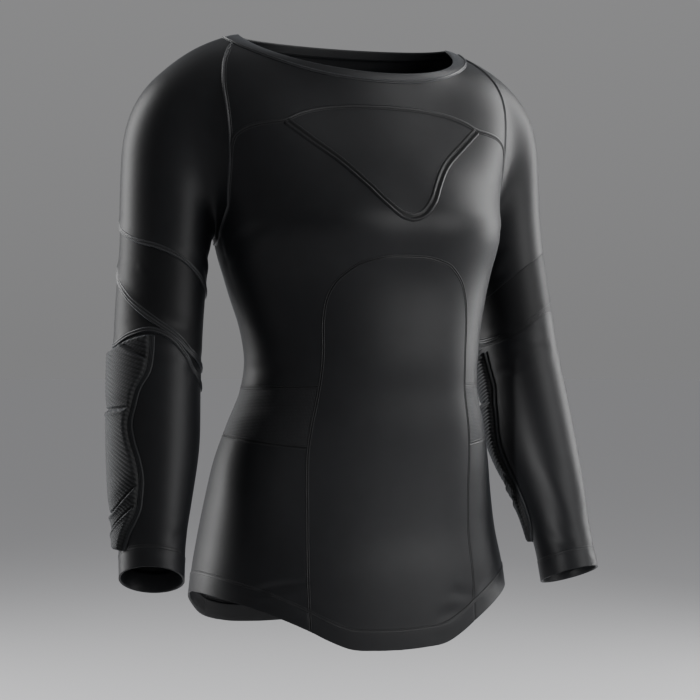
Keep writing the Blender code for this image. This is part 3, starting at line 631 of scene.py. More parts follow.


# Colours of each cloth. A look's groove weight says how strongly painted shade darkens its grooves and
# hollows.
looks = {
    "jersey": {"dark": (0.0062, 0.0065, 0.0076), "light": (0.0105, 0.0110, 0.0126),
               "roughness": 0.46, "sheen": 0.05, "sheenRoughness": 0.32, "specular": 0.21,
               "wale": 0.0007, "course": 0.0006, "knitShade": 0.25, "knitDepth": 0.00010,
               "bump": 0.25, "mottleScale": 60},
    "chest_panel": {"dark": (0.0066, 0.0069, 0.0080), "light": (0.0112, 0.0117, 0.0132),
                    "roughness": 0.52, "sheen": 0.05, "sheenRoughness": 0.35, "specular": 0.20,
                    "wale": 0.0007, "course": 0.0006, "knitShade": 0.25, "knitDepth": 0.00010,
                    "bump": 0.25, "mottleScale": 60},
    "waist_mesh": {"dark": (0.0050, 0.0052, 0.0060), "light": (0.0190, 0.0196, 0.0220),
                   "roughness": 0.54, "sheen": 0.08, "sheenRoughness": 0.4, "specular": 0.24,
                   "wale": 0.0018, "course": 0.0015, "knitShade": 0.55, "knitDepth": 0.00030,
                   "bump": 0.7, "mottleScale": 420},
    # elbow_cloth: a darker cloth of its own, made darker still as painted shade for the shadow under
    # the raised seams above it.
    "elbow_cloth": {"dark": (0.0046, 0.0048, 0.0056), "light": (0.0080, 0.0083, 0.0094),
                    "roughness": 0.50, "sheen": 0.05, "sheenRoughness": 0.35, "specular": 0.18,
                    "wale": 0.0009, "course": 0.0008, "knitShade": 0.30, "knitDepth": 0.00012,
                    "bump": 0.3, "mottleScale": 60},
    "pad_mesh": {"dark": (0.0100, 0.0106, 0.0120), "light": (0.0170, 0.0178, 0.0198),
                 "roughness": 0.62, "sheen": 0.12, "sheenRoughness": 0.45, "specular": 0.26,
                 "wale": 0.0012, "course": 0.0012, "knitShade": 0.45, "knitDepth": 0.00020,
                 "bump": 0.5, "mottleScale": 90, "groove": 0.9},
    "neckband": {"dark": (0.0100, 0.0104, 0.0118), "light": (0.0160, 0.0166, 0.0184),
                 "roughness": 0.50, "sheen": 0.10, "sheenRoughness": 0.4, "specular": 0.30,
                 "wale": 0.0008, "course": 0.0008, "knitShade": 0.30, "knitDepth": 0.00012,
                 "bump": 0.3, "mottleScale": 70},
    "thread": {"dark": (0.0140, 0.0146, 0.0166), "light": (0.0240, 0.0250, 0.0280),
               "roughness": 0.46, "sheen": 0.10, "sheenRoughness": 0.4, "specular": 0.38,
               "wale": 0.0011, "course": 0.0022, "knitShade": 0.50, "knitDepth": 0.00020,
               "bump": 0.5, "mottleScale": 200, "groove": 0.85},
    "seam": {"dark": (0.0064, 0.0067, 0.0078), "light": (0.0115, 0.0120, 0.0136),
             "roughness": 0.48, "sheen": 0.06, "sheenRoughness": 0.35, "specular": 0.26,
             "wale": 0.0011, "course": 0.0018, "knitShade": 0.50, "knitDepth": 0.00016,
             "bump": 0.4, "mottleScale": 200, "groove": 0.85},
    "piping": {"dark": (0.0200, 0.0208, 0.0232), "light": (0.0330, 0.0342, 0.0375),
               "roughness": 0.42, "sheen": 0.10, "sheenRoughness": 0.4, "specular": 0.42,
               "wale": 0.0011, "course": 0.0016, "knitShade": 0.40, "knitDepth": 0.00016,
               "bump": 0.4, "mottleScale": 200, "groove": 0.85},
}
finishes = {name: clothFinish(name + "_cloth", look) for name, look in looks.items()}
print("finishes made:", len(finishes))


def dress(piece, slot, *nodes):
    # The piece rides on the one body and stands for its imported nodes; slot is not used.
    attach(piece, "root")
    if nodes:
        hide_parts(*nodes)
    return piece


def hemStep(distance):
    # The turned hem is two layers thick, so it stands a little proud below its stitches.
    # It ends in a logistic step, whose exponent is held where the step is long over.
    past = np.minimum((distance - cloth["turning"]) / cloth["hemProudWidth"], 100)
    return cloth["hemProud"] / (1 + np.exp(past))


def hemTurn(zone, angle, height):
    # Extra rows below a grid: round the fold and up inside as high as the turning.
    # The fold is a half circle of the turning's radius, centred that far inside the edge.
    radius = cloth["turnRadius"]
    edge, normal = clothPoint(zone, angle, height)
    up = unit(clothPoint(zone, angle, height + cloth["turnAim"])[0] - edge)
    theta = np.linspace(0, np.pi, cloth["turnFoldRows"] + 2)[1:-1, None, None]
    centre = edge + up * radius - normal * radius
    fold = centre + radius * (normal * np.cos(theta) - up * np.sin(theta))
    rise = np.linspace(cloth["turnStart"], cloth["turning"], cloth["turnRows"])
    inside = [clothPoint(zone, angle, height + step, -2 * radius)[0] for step in rise]
    return np.concatenate([np.stack(inside[::-1]), fold[::-1]])


def withHem(grid, spread, turned):
    # The grid and its cloth places with the extra rows below them.
    below = np.linspace(cloth["turning"], cloth["turnGap"], len(turned))[:, None, None] * [0, 1]
    return np.concatenate([turned, grid]), np.concatenate([spread[:1] - below, spread])


def bodyPanel(name, slot, bottom, top, left, right, hem=False):
    # The cloth between four runs, dipping into its seams and turned up at the hem.
    places = patch(bottom, top, left, right, cloth["pitch"])
    plain = bodyPoint(places[..., 0], places[..., 1])
    low, high, near, far = edgeDistance(plain)
    rims = [high, near, far] + ([] if hem else [low])
    lift = -cloth["seamDip"] * bell(np.minimum.reduce(rims), cloth["dipWidth"])
    if hem:
        lift = lift + hemStep(low)
    grid, _ = clothPoint("body", places[..., 0], places[..., 1], lift)
    spread = np.stack([places[..., 0] * bodyCut["perDegree"], places[..., 1]], -1)
    if hem:
        grid, spread = withHem(grid, spread, hemTurn("body", places[0, :, 0], places[0, :, 1]))
    piece = wallPiece(name + "_cloth", grid, spread, False, finishes[slot])
    return dress(piece, slot, name)


def bothSides(name, first, last, count):
    # A stretch of a seam on the wearer's left, under 1, and on the right, under -1.
    return {s: seamRun(name, first, last, count, s) for s in (1, -1)}


def backwards(stretch):
    # Both runs of a stretch, each from its other end.
    return {s: run[::-1] for s, run in stretch.items()}


def acrossFront(*stretches):
    # One line from the wearer's right to left, out of stretches listed from the middle out.
    right = [stretch[-1][::-1] for stretch in stretches[::-1]]
    return joined(*right, *(stretch[1] for stretch in stretches))


def neckRun(first, last, steps):
    # Along the seam under the neckband.
    return np.stack([np.linspace(first, last, steps + 1), np.full(steps + 1, band)], -1)


# Body panels: stretches of each seam from knot to knot, with their numbers of steps.
raglanHigh = backwards(bothSides("raglanFront", 0, 6, 60))
raglanLow = bothSides("raglanFront", 6, 10, 40)
yokeHalf = bothSides("yoke", 0, 4, 60)
yokeSide = bothSides("yoke", 4, 8, 40)
vee = backwards(bothSides("vee", 0, 6, 80))
veeSide = backwards(bothSides("vee", 0, 4, 60))
veeTip = backwards(bothSides("vee", 4, 6, 20))
arch = bothSides("princess", 0, 9, 120)
archTop = bothSides("princess", 0, 5, 60)
archSide = bothSides("princess", 5, 9, 60)
princessWaist = bothSides("princess", 9, 10, 20)
princessHip = bothSides("princess", 10, 14, 60)
sideChest = backwards(bothSides("side", 0, 3, 60))
sideWaist = bothSides("side", 3, 4, 20)
sideHip = bothSides("side", 4, 7, 70)
waistHigh = bothSides("waistUpper", 0, 3, 60)
waistLow = bothSides("waistLower", 0, 4, 60)
hemFront = bothSides("hem", 0, 4, 60)
hemHip = bothSides("hem", 4, 11, 60)
frontCorner, backCorner = seams["raglanFront"][0][0], seams["raglanBack"][-1][0]
neckFront = neckRun(-frontCorner, frontCorner, cloth["neckSteps"])
neckBack = neckRun(backCorner, 360 - backCorner, cloth["neckSteps"])

bodyPanel("front_yoke", "jersey", acrossFront(yokeHalf, yokeSide), neckFront,
          raglanHigh[-1], raglanHigh[1])
bodyPanel("chest_vee", "chest_panel", acrossFront(veeTip), acrossFront(yokeHalf),
          veeSide[-1], veeSide[1])
bodyPanel("front_bust", "jersey", acrossFront(arch, waistHigh), acrossFront(vee, yokeSide, raglanLow),
          sideChest[-1], sideChest[1])
centreSide = backwards({s: joined(archSide[s], princessWaist[s], princessHip[s]) for s in (1, -1)})
bodyPanel("front_centre", "jersey", acrossFront(hemFront), acrossFront(archTop),
          centreSide[-1], centreSide[1], hem=True)
for side, s in (("left", 1), ("right", -1)):
    # Columns run from the wearer's right to left, so the two sides swap their edges.
    edges = [princessWaist[s][::-1], sideWaist[s][::-1]][::s]
    bodyPanel("waist_side_" + side, "waist_mesh", waistLow[s][::s], waistHigh[s][::s], *edges)
    edges = [princessHip[s][::-1], sideHip[s][::-1]][::s]
    bodyPanel("hip_side_" + side, "jersey", hemHip[s][::s], waistLow[s][::s], *edges, hem=True)
hemBack = joined(seamRun("hem", 11, 14, 50), seamRun("hem", 11, 14, 50, -1, 360)[::-1])
backLeft = joined(seamRun("raglanBack", 0, 9, 100)[::-1], seamRun("side", 0, 7, 150))
backRight = joined(seamRun("raglanBack", 0, 9, 100, -1, 360)[::-1],
                   seamRun("side", 0, 7, 150, -1, 360))
bodyPanel("back", "jersey", hemBack, neckBack, backLeft[::-1], backRight[::-1], hem=True)
print("body panels dressed")


# Sleeves
def armholeLoop():
    # The loop in the same 22 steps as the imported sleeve's, each cut finer.
    fine = cloth["sleeveColumns"]
    front = [seamRun("raglanFront", 6, 10, 4 * fine), seamRun("raglanFront", 0, 6, 6 * fine)]
    over = neckRun(frontCorner, backCorner, 2 * fine)
    back = seamRun("raglanBack", 0, 9, 10 * fine)
    return joined(front[0][::-1], front[1][::-1], over, back[::-1])[:-1]


def evened(values):
    # Each value becomes the average of those near it round the arm, weighted by a bell.
    place = np.arange(len(values))
    away = np.abs(place[:, None] - place)
    away = np.minimum(away, len(values) - away)
    weight = np.exp(-(away / (sleeveCut["headEvenSpread"] * cloth["sleeveColumns"])) ** 2 / 2)
    return weight @ values / weight.sum(axis=1, keepdims=True)


def sleeveHead(rows):
    # Hermite curves from the armhole down to the ring. They leave square to the seam at the
    # underarm and straight towards the ring at the shoulder, along the body's surface.
    fine = cloth["sleeveColumns"]
    loop = armholeLoop()
    points, normals = bodyPoint(loop[:, 0], loop[:, 1]), bodyNormal(loop[:, 0], loop[:, 1])
    coarse, coarseNormals = points[::fine], normals[::fine]
    square = unit(np.cross(np.roll(coarse, -1, axis=0) - np.roll(coarse, 1, axis=0), coarseNormals))
    steps = np.arange(len(loop)) / fine
    knots = np.arange(-len(square), 2 * len(square))
    square = np.stack([flow(knots, np.tile(square[:, k], 3), steps) for k in range(3)], -1)
    angles = -90 + 360 * np.arange(len(loop)) / len(loop)
    ring = -sleeveCut["armholeRing"] + sleeveCut["armholeSlant"] * np.sin(np.radians(angles))
    end = armPoint(angles, ring)
    arrive = unit(armPoint(angles, ring - probe["height"]) - end)
    reach = np.linalg.norm(end - points, axis=1, keepdims=True)
    top = (1 + np.sin(np.radians(angles))[:, None]) / 2
    towards = end - points
    towards = unit(towards - (towards * normals).sum(axis=1, keepdims=True) * normals)
    fullness = sleeveCut["headFullness"] * (1 - top) + sleeveCut["headFullnessTop"] * top
    leave = unit(square * (1 - top) + towards * top) * reach * fullness
    fall = arrive * reach * sleeveCut["headFall"]
    t = rows[:, None, None]
    even = np.clip(t / sleeveCut["headEvenFrom"], 0, 1)
    even = even * even * (3 - 2 * even)
    start = points * (1 - even) + evened(points) * even
    leave = leave * (1 - even) + evened(leave) * even
    fall = fall * (1 - even) + evened(fall) * even
    head = (1 + 2 * t) * (1 - t) ** 2 * start + t * t * (3 - 2 * t) * end
    return head + t * (1 - t) ** 2 * leave - t * t * (1 - t) * fall, angles, ring


def gridNormals(grid):
    # Rows run down the sleeve and columns round it.
    along = np.roll(grid, -1, axis=1) - np.roll(grid, 1, axis=1)
    return unit(np.cross(np.gradient(grid, axis=0), along))


def seamShare(side, k, angles):
    # How strongly the sleeve's seam number k stands out at each angle.
    return np.clip(columnRound(sleeveCut["seamShares"][side], k, angles), 0, 1)


def sleevePiece(name, side, slot, grid, level, angles, hem=False):
    # A stretch of the sleeve from its top edge down to the heights in level.
    normals = gridNormals(grid)
    turned = turnedSide(side)
    order = list(cloth["steps"]).index(name)
    above = seamShare(side, order, angles) if order else 1.0
    below = 1.0 if hem else seamShare(side, order + 1, angles)
    grid, normals = grid * turned, normals * turned
    low, high, _, _ = edgeDistance(grid)
    topStep, bottomStep = cloth["steps"][name]
    lift = creaseLift(grid, side) - above * cloth["seamDip"] * bell(low, cloth["dipWidth"])
    lift = lift + above * topStep * bell(low, cloth["stepWidth"])
    lift = lift + below * bottomStep * bell(high, cloth["stepWidth"])
    if hem:
        lift = lift + hemStep(high)
    else:
        lift = lift - below * cloth["seamDip"] * bell(high, cloth["dipWidth"])
    grid = grid + normals * lift[..., None]
    width = np.broadcast_to(angles * sleeveCut["perDegree"], grid.shape[:2])
    depth = -summed(np.linalg.norm(np.diff(grid, axis=0), axis=-1).mean(1))
    spread = np.stack([width, np.broadcast_to(depth[:, None], width.shape)], -1)
    grid, spread = grid[::-1], spread[::-1]
    if hem:
        grid, spread = withHem(grid, spread, hemTurn(side, angles, level))
    if side == "right":
        grid, spread = grid[:, ::-1], spread[:, ::-1]
    piece = wallPiece(name + "_" + side + "_cloth", grid, spread, True, finishes[slot])
    return dress(piece, slot, name + "_" + side)


def cuffHeight(side, angles):
    # A ring tilted by a cosine, highest at the angle it is tilted towards.
    cuff = sleeveCut["cuffs"][side]
    return cuff["height"] + cuff["tilt"] * np.cos(np.radians(angles - cuff["towards"]))


for side in ("right", "left"):
    head, angles, ring = sleeveHead(shares(sleeveCut["headLength"], cloth["sleevePitch"])[:-1])
    levels = [ring] + [columnRound(sleeveCut[side], k, angles) for k in (1, 2, 3)]
    levels.append(cuffHeight(side, angles))
    stretches = []
    for high, low in zip(levels[:-1], levels[1:]):
        t = shares(float(np.mean(high - low)), cloth["sleevePitch"])[:, None]
        stretches.append(armPoint(angles, high + (low - high) * t))
    stretches[0] = np.concatenate([head, stretches[0]])
    for name, slot, grid, level in zip(cloth["steps"], cloth["sleeveSlots"], stretches, levels[1:]):
        sleevePiece(name, side, slot, grid, level, angles, hem=name == "forearm")
print("sleeves dressed")


# Neckband: a folded band carried round the neck edge.
neckband = {
    "columns": 260,
    "thickness": 0.0022,
    "bulge": 0.0005,
    "rows": 9,
    "foldRows": 5,
    "topGap": 0.0001,            # the band stays this far below the end of the body's surface
    "perDegree": 0.0019,
    "lastStep": 0.002,           # from the last row inside back to the first one outside
}


def neckbandPiece():
    # Profile: up the outside with a slight bulge, over the fold in a half circle, down inside.
    angle = np.linspace(0, 360, neckband["columns"], endpoint=False)
    half = neckband["thickness"] / 2
    v = np.linspace(0, 1, neckband["rows"])
    theta = np.linspace(0, np.pi, neckband["foldRows"] + 2)[1:-1]
    rise = band * (1 - v) - half * v
    height = np.concatenate([rise, -half + half * np.sin(theta), rise[::-1]])
    out = np.concatenate([neckband["bulge"] * np.sin(np.pi * v), -half + half * np.cos(theta),
                          -2 * half - 0 * v])
    grid = bodyPoint(angle[None], np.minimum(height, -neckband["topGap"])[:, None])
    grid = grid + bodyNormal(angle[None], height[:, None]) * out[:, None, None]
    depth = summed(np.linalg.norm(np.diff(grid, axis=0), axis=-1).mean(1))
    depth = np.append(depth, depth[-1] + neckband["lastStep"])
    width = angle * neckband["perDegree"]
    spread = np.stack(np.broadcast_arrays(width[None], depth[:, None]), -1)
    rows, columns = grid.shape[:2]
    quads = gridQuads(rows + 1, columns, True) % (rows * columns)
    piece = meshPiece("neckband_cloth", grid.reshape(-1, 3), [quads],
                      gridPlaces(spread, True), finishes["neckband"])
    return dress(piece, "neckband", "neckband")


neckbandPiece()
print("neckband dressed")

# Forearm pads: foam under a ribbed mesh cover.
pad = {
    # height, angle of the front side, angle of the inner side
    "sides": [
        (-0.330, 50, 258), (-0.350, 50, 259), (-0.369, 54, 260), (-0.384, 65, 256),
        (-0.400, 71, 253), (-0.416, 76, 249), (-0.436, 72, 245), (-0.455, 64, 245),
        (-0.474, 59, 247), (-0.491, 60, 248), (-0.505, 63, 248), (-0.514, 69, 247),
        (-0.529, 83, 241), (-0.546, 95, 222),
    ],
    "bottom": {"right": -0.546, "left": -0.560},
    "topMargin": 0.006,
    "seat": 0.0004,
    "taper": 0.0012,             # width over which the outermost edge thins to nothing
    "edge": 0.0010,
    "lift": 0.0066,
    "shoulder": 0.0046,          # width of the rounded rim inside the binding
    "turn": {"right": -23, "left": 22},
    "frontLeast": {"right": 0, "left": 84},      # the front side comes no further forward
    # height of each bend at the pad's edges, a quarter in, and in the middle
    "bends": [(-0.353, -0.331, -0.318), (-0.400, -0.403, -0.404), (-0.472, -0.504, -0.512),
              (-0.492, -0.522, -0.532)],
    "bendShares": (0.0, 0.25, 0.5),
    "bendDepth": 0.0032,
    "bendWidth": 0.0024,
    "bendSlope": {"share": 0.45, "above": 0.002, "widths": 4},    # softer fall above each bend
    "lipBelow": 0.0044,          # the part below a bend rises to a lip this far under it
    "lipWidth": 0.0024,
    "lipHeight": 0.0008,
    "ribPitch": 0.0051,
    "ribHeight": 0.00135,
    "ribStart": 8,               # how soon the ribs reach their height inside the binding
    "ribSlopes": (0.36, 0.90),   # at the top and at the bottom
    "ribPower": 0.6,             # under 1 makes the ribs broader than the grooves between them
    "cellPitch": 0.0050,
    "cellDepth": 0.30,
    "bindingWidth": 0.0056,      # smooth band along the two long sides, with three rows of thread
    "bindingBlend": 0.0003,
    "bindingBend": 0.4,          # how strongly the bends and lips still show on it
    "threadPlaces": (0.0014, 0.0030, 0.0046),
    "threadHeight": 0.00040,
    "threadWidth": 0.00045,
    "bindingGroove": 0.0004,
    "groovePlace": 0.0005,       # inside the binding
    "grooveWidth": 0.0006,
    # painted shade of each part, where shade falls in grooves, bends and on the under side and walls;
    # the threads are lighter in their own colour
    "shades": {"rib": 0.95, "groove": 0.5, "bend": 0.55, "thread": -0.35, "under": 0.5},
    "fineReach": 1.3,            # width of the fine columns, in widths of the binding
    "perDegree": 0.00078,
    "rows": 336,
    "bandColumns": 20,
    "middleColumns": 140,
    "underStride": 10,           # the under side has only every tenth column
}


def padShares(width):
    # Columns as shares of each row's width: fine ones on the bindings, even ones between them.
    reach = pad["bindingWidth"] * pad["fineReach"]
    edge = np.linspace(0, reach, pad["bandColumns"], endpoint=False)[None] / width
    last = reach / width
    middle = last + (1 - 2 * last) * np.linspace(0, 1, pad["middleColumns"] + 1)[None]
    return np.concatenate([edge, middle, 1 - edge[:, ::-1]], axis=1)


def padRelief(height, across, drop, edge):
    # Ribs are a sine of height that slants with the way across, cut into cells by a second
    # sine along each rib. edge is the distance from the long sides, and the second result is 1 on
    # the bindings beside them and 0 inside.
    low, high = pad["ribSlopes"]
    slope = low + (high - low) * drop
    rib = np.sin(2 * np.pi * (height - slope * across) / pad["ribPitch"])
    cell = np.sin(2 * np.pi * (across + slope * height) / pad["cellPitch"])
    relief = ((rib + 1) / 2) ** pad["ribPower"] * (1 - pad["cellDepth"] * (cell + 1) / 2)
    return relief, 1 / (1 + np.exp((edge - pad["bindingWidth"]) / pad["bindingBlend"]))


def rimLoop(index):
    # The outermost points of a grid of point numbers, once round.
    return np.concatenate([index[0, :-1], index[:-1, -1], index[-1, :0:-1], index[:0:-1, 0]])


def padUnder(rows, columns, start):
    # The under side's points are the first and last row and every few columns of the others.
    stride = pad["underStride"]
    kept = np.zeros((rows, columns), bool)
    kept[[0, -1]] = True
    kept[:, ::stride] = True
    index = np.cumsum(kept).reshape(rows, columns) - 1 + start
    middle = index[1:-1, ::stride]
    quads = np.stack([middle[:-1, :-1], middle[1:, :-1], middle[1:, 1:], middle[:-1, 1:]], -1)
    groups = np.arange(0, columns - 1, stride)[:, None] + np.arange(stride + 1)
    first = np.concatenate([index[0][groups], index[1][groups[:, [-1, 0]]]], axis=1)
    last = np.concatenate([index[-1][groups], index[-2][groups[:, [-1, 0]]]], axis=1)[:, ::-1]
    return kept, [quads.reshape(-1, 4)[:, ::-1], np.concatenate([first, last])], rimLoop(index)


def padPiece(side):
    # Height over the sleeve: a quarter circle rising inside the flat bindings, a dip and a lip at
    # each bend, and the ribs. The threads and a groove are bells over the distance from the edge.
    drop = np.linspace(0, 1, pad["rows"])[:, None]
    top, bottom = pad["sides"][0][0], pad["bottom"][side]
    table = top + (pad["sides"][-1][0] - top) * drop
    front, inner = (column(pad["sides"], k, table) + pad["turn"][side] for k in (1, 2))
    front = np.maximum(front, pad["frontLeast"][side])
    share = padShares((inner - front) * pad["perDegree"])
    angle = front + (inner - front) * share
    height = (columnRound(sleeveCut[side], 3, angle) - pad["topMargin"]) * (1 - drop) + bottom * drop
    base, normal = clothPoint(side, angle, height)
    low, high, near, far = edgeDistance(base)
    edge = np.minimum(near, far)
    rim = np.minimum.reduce([low, high, edge - pad["bindingWidth"]])
    rim = np.clip(rim / pad["shoulder"], 0, 1)
    lift = pad["edge"] + (pad["lift"] - pad["edge"]) * np.sqrt(1 - (1 - rim) ** 2)
    dip, lip, slope = 0 * height, 0 * height, pad["bendSlope"]
    for bend in pad["bends"]:
        line = flow(pad["bendShares"], bend, np.minimum(share, 1 - share))
        dip = np.maximum(dip, bell(height - line, pad["bendWidth"]))
        fall = slope["share"] * bell(height - line - slope["above"], slope["widths"] * pad["bendWidth"])
        dip = np.maximum(dip, fall * (height > line))
        lip = np.maximum(lip, bell(height - line + pad["lipBelow"], pad["lipWidth"]))
    across = (angle - pad["sides"][0][1] - pad["turn"][side]) * sleeveCut["perDegree"]
    relief, binding = padRelief(height, across, drop, edge)
    threads = sum(bell(edge - place, pad["threadWidth"]) for place in pad["threadPlaces"])
    groove = bell(edge - pad["bindingWidth"] - pad["groovePlace"], pad["grooveWidth"])
    ribs = pad["ribHeight"] * (relief - 0.5) * np.clip(rim * pad["ribStart"], 0, 1) * (1 - binding)
    inside = 1 - (1 - pad["bindingBend"]) * binding
    lift = lift - pad["bendDepth"] * dip * rim * inside + pad["lipHeight"] * lip * rim * inside + ribs
    lift = lift + pad["threadHeight"] * threads - pad["bindingGroove"] * groove
    lift = lift * np.clip(np.minimum.reduce([low, high, edge]) / pad["taper"], 0, 1) ** 0.5
    outer = base + normal * (pad["seat"] + lift)[..., None]
    under = base + normal * pad["seat"]
    rows, columns = outer.shape[:2]
    loop = rimLoop(np.arange(rows * columns).reshape(rows, columns))
    kept, faces, underLoop = padUnder(rows, columns, rows * columns)
    wall = np.stack([loop, np.roll(loop, -1), np.roll(underLoop, -1), underLoop], -1)
    faces = [gridQuads(rows, columns, False)[:, ::-1], *faces, wall]
    if side == "right":
        faces = [group[:, ::-1] for group in faces]
    spread = np.stack([across, height], -1)
    spread = np.concatenate([spread.reshape(-1, 2), spread[kept]])
    # Painted shade in the point attribute groove: darker in the rib grooves, the binding's groove, the
    # bends and on the under side and walls, where shade falls; the threads lighter in their own colour.
    shades = pad["shades"]
    shade = shades["rib"] * (1 - relief) * (1 - binding) + shades["groove"] * groove
    shade = shade + shades["bend"] * dip + shades["thread"] * threads
    shade = np.concatenate([shade.ravel(), np.full(kept.sum(), shades["under"])])
    piece = meshPiece("forearm_pad_" + side + "_cover",
                      np.concatenate([outer.reshape(-1, 3), under[kept]]), faces,
                      np.concatenate([spread[group].reshape(-1, 2) for group in faces]),
                      finishes["pad_mesh"], {"groove": shade})
    return dress(piece, "pad_mesh", "forearm_pad_" + side)


for side in ("right", "left"):
    padPiece(side)
print("pads dressed")

# Seams: ribbons swept along the seam lines. Each row is a ridge, or a groove where its height is
# below zero: its place across the ribbon from -1 to 1, its height and its width.
seamLooks = {
    "flat": {"width": 0.0044, "height": 0.00028, "tilt": 0.0,
             "rows": ((-0.55, 0.00018, 0.18), (0.0, -0.00055, 0.20), (0.55, 0.00018, 0.18))},
    "welt": {"width": 0.0058, "height": 0.00050, "tilt": 0.0,
             "rows": ((0.22, 0.00095, 0.26), (-0.42, -0.00070, 0.17), (-0.80, 0.00010, 0.12))},
    "covered": {"width": 0.0060, "height": 0.00050, "tilt": 0.00020,
                "rows": ((0.30, 0.00030, 0.34), (-0.62, 0.00025, 0.14), (-0.32, -0.00070, 0.12))},
    "raised": {"width": 0.0066, "height": 0.00120, "tilt": -0.00035,
               "rows": ((-0.56, 0.00055, 0.16), (-0.10, -0.00055, 0.13), (0.36, 0.00055, 0.16))},
    "broad": {"width": 0.0094, "height": 0.00130, "tilt": -0.00045,
              "rows": ((-0.72, 0.00055, 0.12), (-0.42, -0.00055, 0.10), (-0.12, 0.00055, 0.12),
                       (0.20, -0.00055, 0.10), (0.52, 0.00050, 0.13))},
    "piped": {"width": 0.0100, "height": 0.00105, "tilt": 0.0,
              "rows": ((-0.55, 0.00080, 0.17), (0.12, -0.00115, 0.26), (0.78, 0.00030, 0.12))},
    "twin": {"width": 0.0044, "height": 0.00012, "tilt": 0.0,
             "rows": ((-0.62, 0.00030, 0.17), (0.62, 0.00030, 0.17))},
    "corded": {"width": 0.0038, "height": 0.00020, "tilt": 0.0,
               "rows": ((0.25, 0.00060, 0.28), (-0.35, -0.00060, 0.24))},
    "sunk": {"width": 0.0056, "height": 0.00025, "tilt": 0.0,
             "rows": ((0.0, -0.00085, 0.26), (-0.65, 0.00010, 0.16), (0.65, 0.00010, 0.16))},
}
seamLifts = {"hem": 0.0003, "cuff": 0.0002, "neck": 0.0008}
sweep = {
    "step": 0.0020,
    "across": 17,
    "sink": 0.0007,              # how far the ribbon's edges go into the cloth
    "corner": 0.7,               # place of the two corners under it
    "tip": 0.05,                 # width and height left at an open end
    "hide": 0.0016,              # how far it sinks where it fades out
    "dark": 0.0005,              # depth at which a groove's painted shade is full
}


def evenPath(run, zone, closed):
    # The run read again at even steps along the cloth.
    points, _ = clothPoint(zone, run[:, 0], run[:, 1])
    if closed:
        points = np.concatenate([points, points[:1]])
        run = np.concatenate([run, run[:1] + [[360, 0]]])
    place = summed(np.linalg.norm(np.diff(points, axis=0), axis=1))
    at = np.linspace(0, place[-1], int(place[-1] / sweep["step"]) + 1)
    if closed:
        at = at[:-1]
    angles = np.interp(at, place, run[:, 0])
    points, normals = clothPoint(zone, angles, np.interp(at, place, run[:, 1]))
    return points, normals, at, angles


def profile(look, flip):
    # Across a seam from -1 to 1: a low crown with a bell for each row, closed below by two sunken
    # corners. Gives places, heights and each place's painted groove shade. A flipped one is mirrored.
    sign = -1 if flip else 1
    w = np.linspace(-1, 1, sweep["across"])
    height = (look["height"] + sign * look["tilt"] * w) * (1 - np.abs(w) ** 4)
    # Painted shade: each groove row darkens its place, fully at the depth sweep's dark.
    shade = 0 * w
    for place, rise, width in look["rows"]:
        row = bell(w - sign * place, width)
        height = height + rise * row
        shade = shade + row * np.clip(-rise / sweep["dark"], 0, 1)
    height = height - sweep["sink"] * np.abs(w) ** 8
    w = np.append(w, [sweep["corner"], -sweep["corner"]])
    return w * look["width"] / 2, np.append(height, [-2 * sweep["sink"]] * 2), np.append(shade, [0, 0])


def ribbon(run, zone, look, closed=False, lift=0.0, seam=None, flip=False):
    # The profile carried along the seam. An open ribbon narrows to nothing at its ends, and one
    # with the number of a sleeve's seam sinks and narrows where that seam fades.
    points, normals, at, angles = evenPath(run, zone, closed)
    if closed:
        along = unit(np.roll(points, -1, axis=0) - np.roll(points, 1, axis=0))
    else:
        along = unit(np.gradient(points, axis=0))
    across = unit(np.cross(normals, along))
    places, height, shade = profile(look, flip or zone == "right")
    end = seamShare(zone, seam, angles) if seam else np.ones(len(at))
    if not closed:
        end[[0, -1]] = sweep["tip"]
    narrow = end ** 0.5 if seam else end
    grid = points[:, None] + across[:, None] * places[None, :, None] * narrow[:, None, None]
    lift = lift - sweep["hide"] * (1 - end) if seam else lift + 0 * end
    grid = grid + normals[:, None] * (height * end[:, None] + lift[:, None])[..., None]
    spread = np.stack(np.broadcast_arrays(places[None], at[:, None]), -1)
    return grid, spread, closed, shade * end[:, None]


def seamPiece(name, ribbons, slot="jersey", finish="thread"):
    # Several ribbons as one mesh, their painted groove shade kept as the point attribute groove.
    points, quads, places, shades, start = [], [], [], [], 0
    for grid, spread, closed, shade in ribbons:
        rows, columns = grid.shape[:2]
        index = gridQuads(rows + closed, columns, True) % (rows * columns)
        if closed:
            spread = np.concatenate([spread, spread[-1:] + [[[0, sweep["step"]]]]])
        points.append(grid.reshape(-1, 3))
        quads.append(index + start)
        places.append(gridPlaces(spread, True))
        shades.append(shade.ravel())
        start += rows * columns
    quads = np.concatenate(quads)
    piece = meshPiece(name, np.concatenate(points), [quads[:, ::-1]],
                      np.concatenate(places).reshape(-1, 4, 2)[:, ::-1], finishes[finish],
                      {"groove": np.concatenate(shades)})
    return dress(piece, slot)


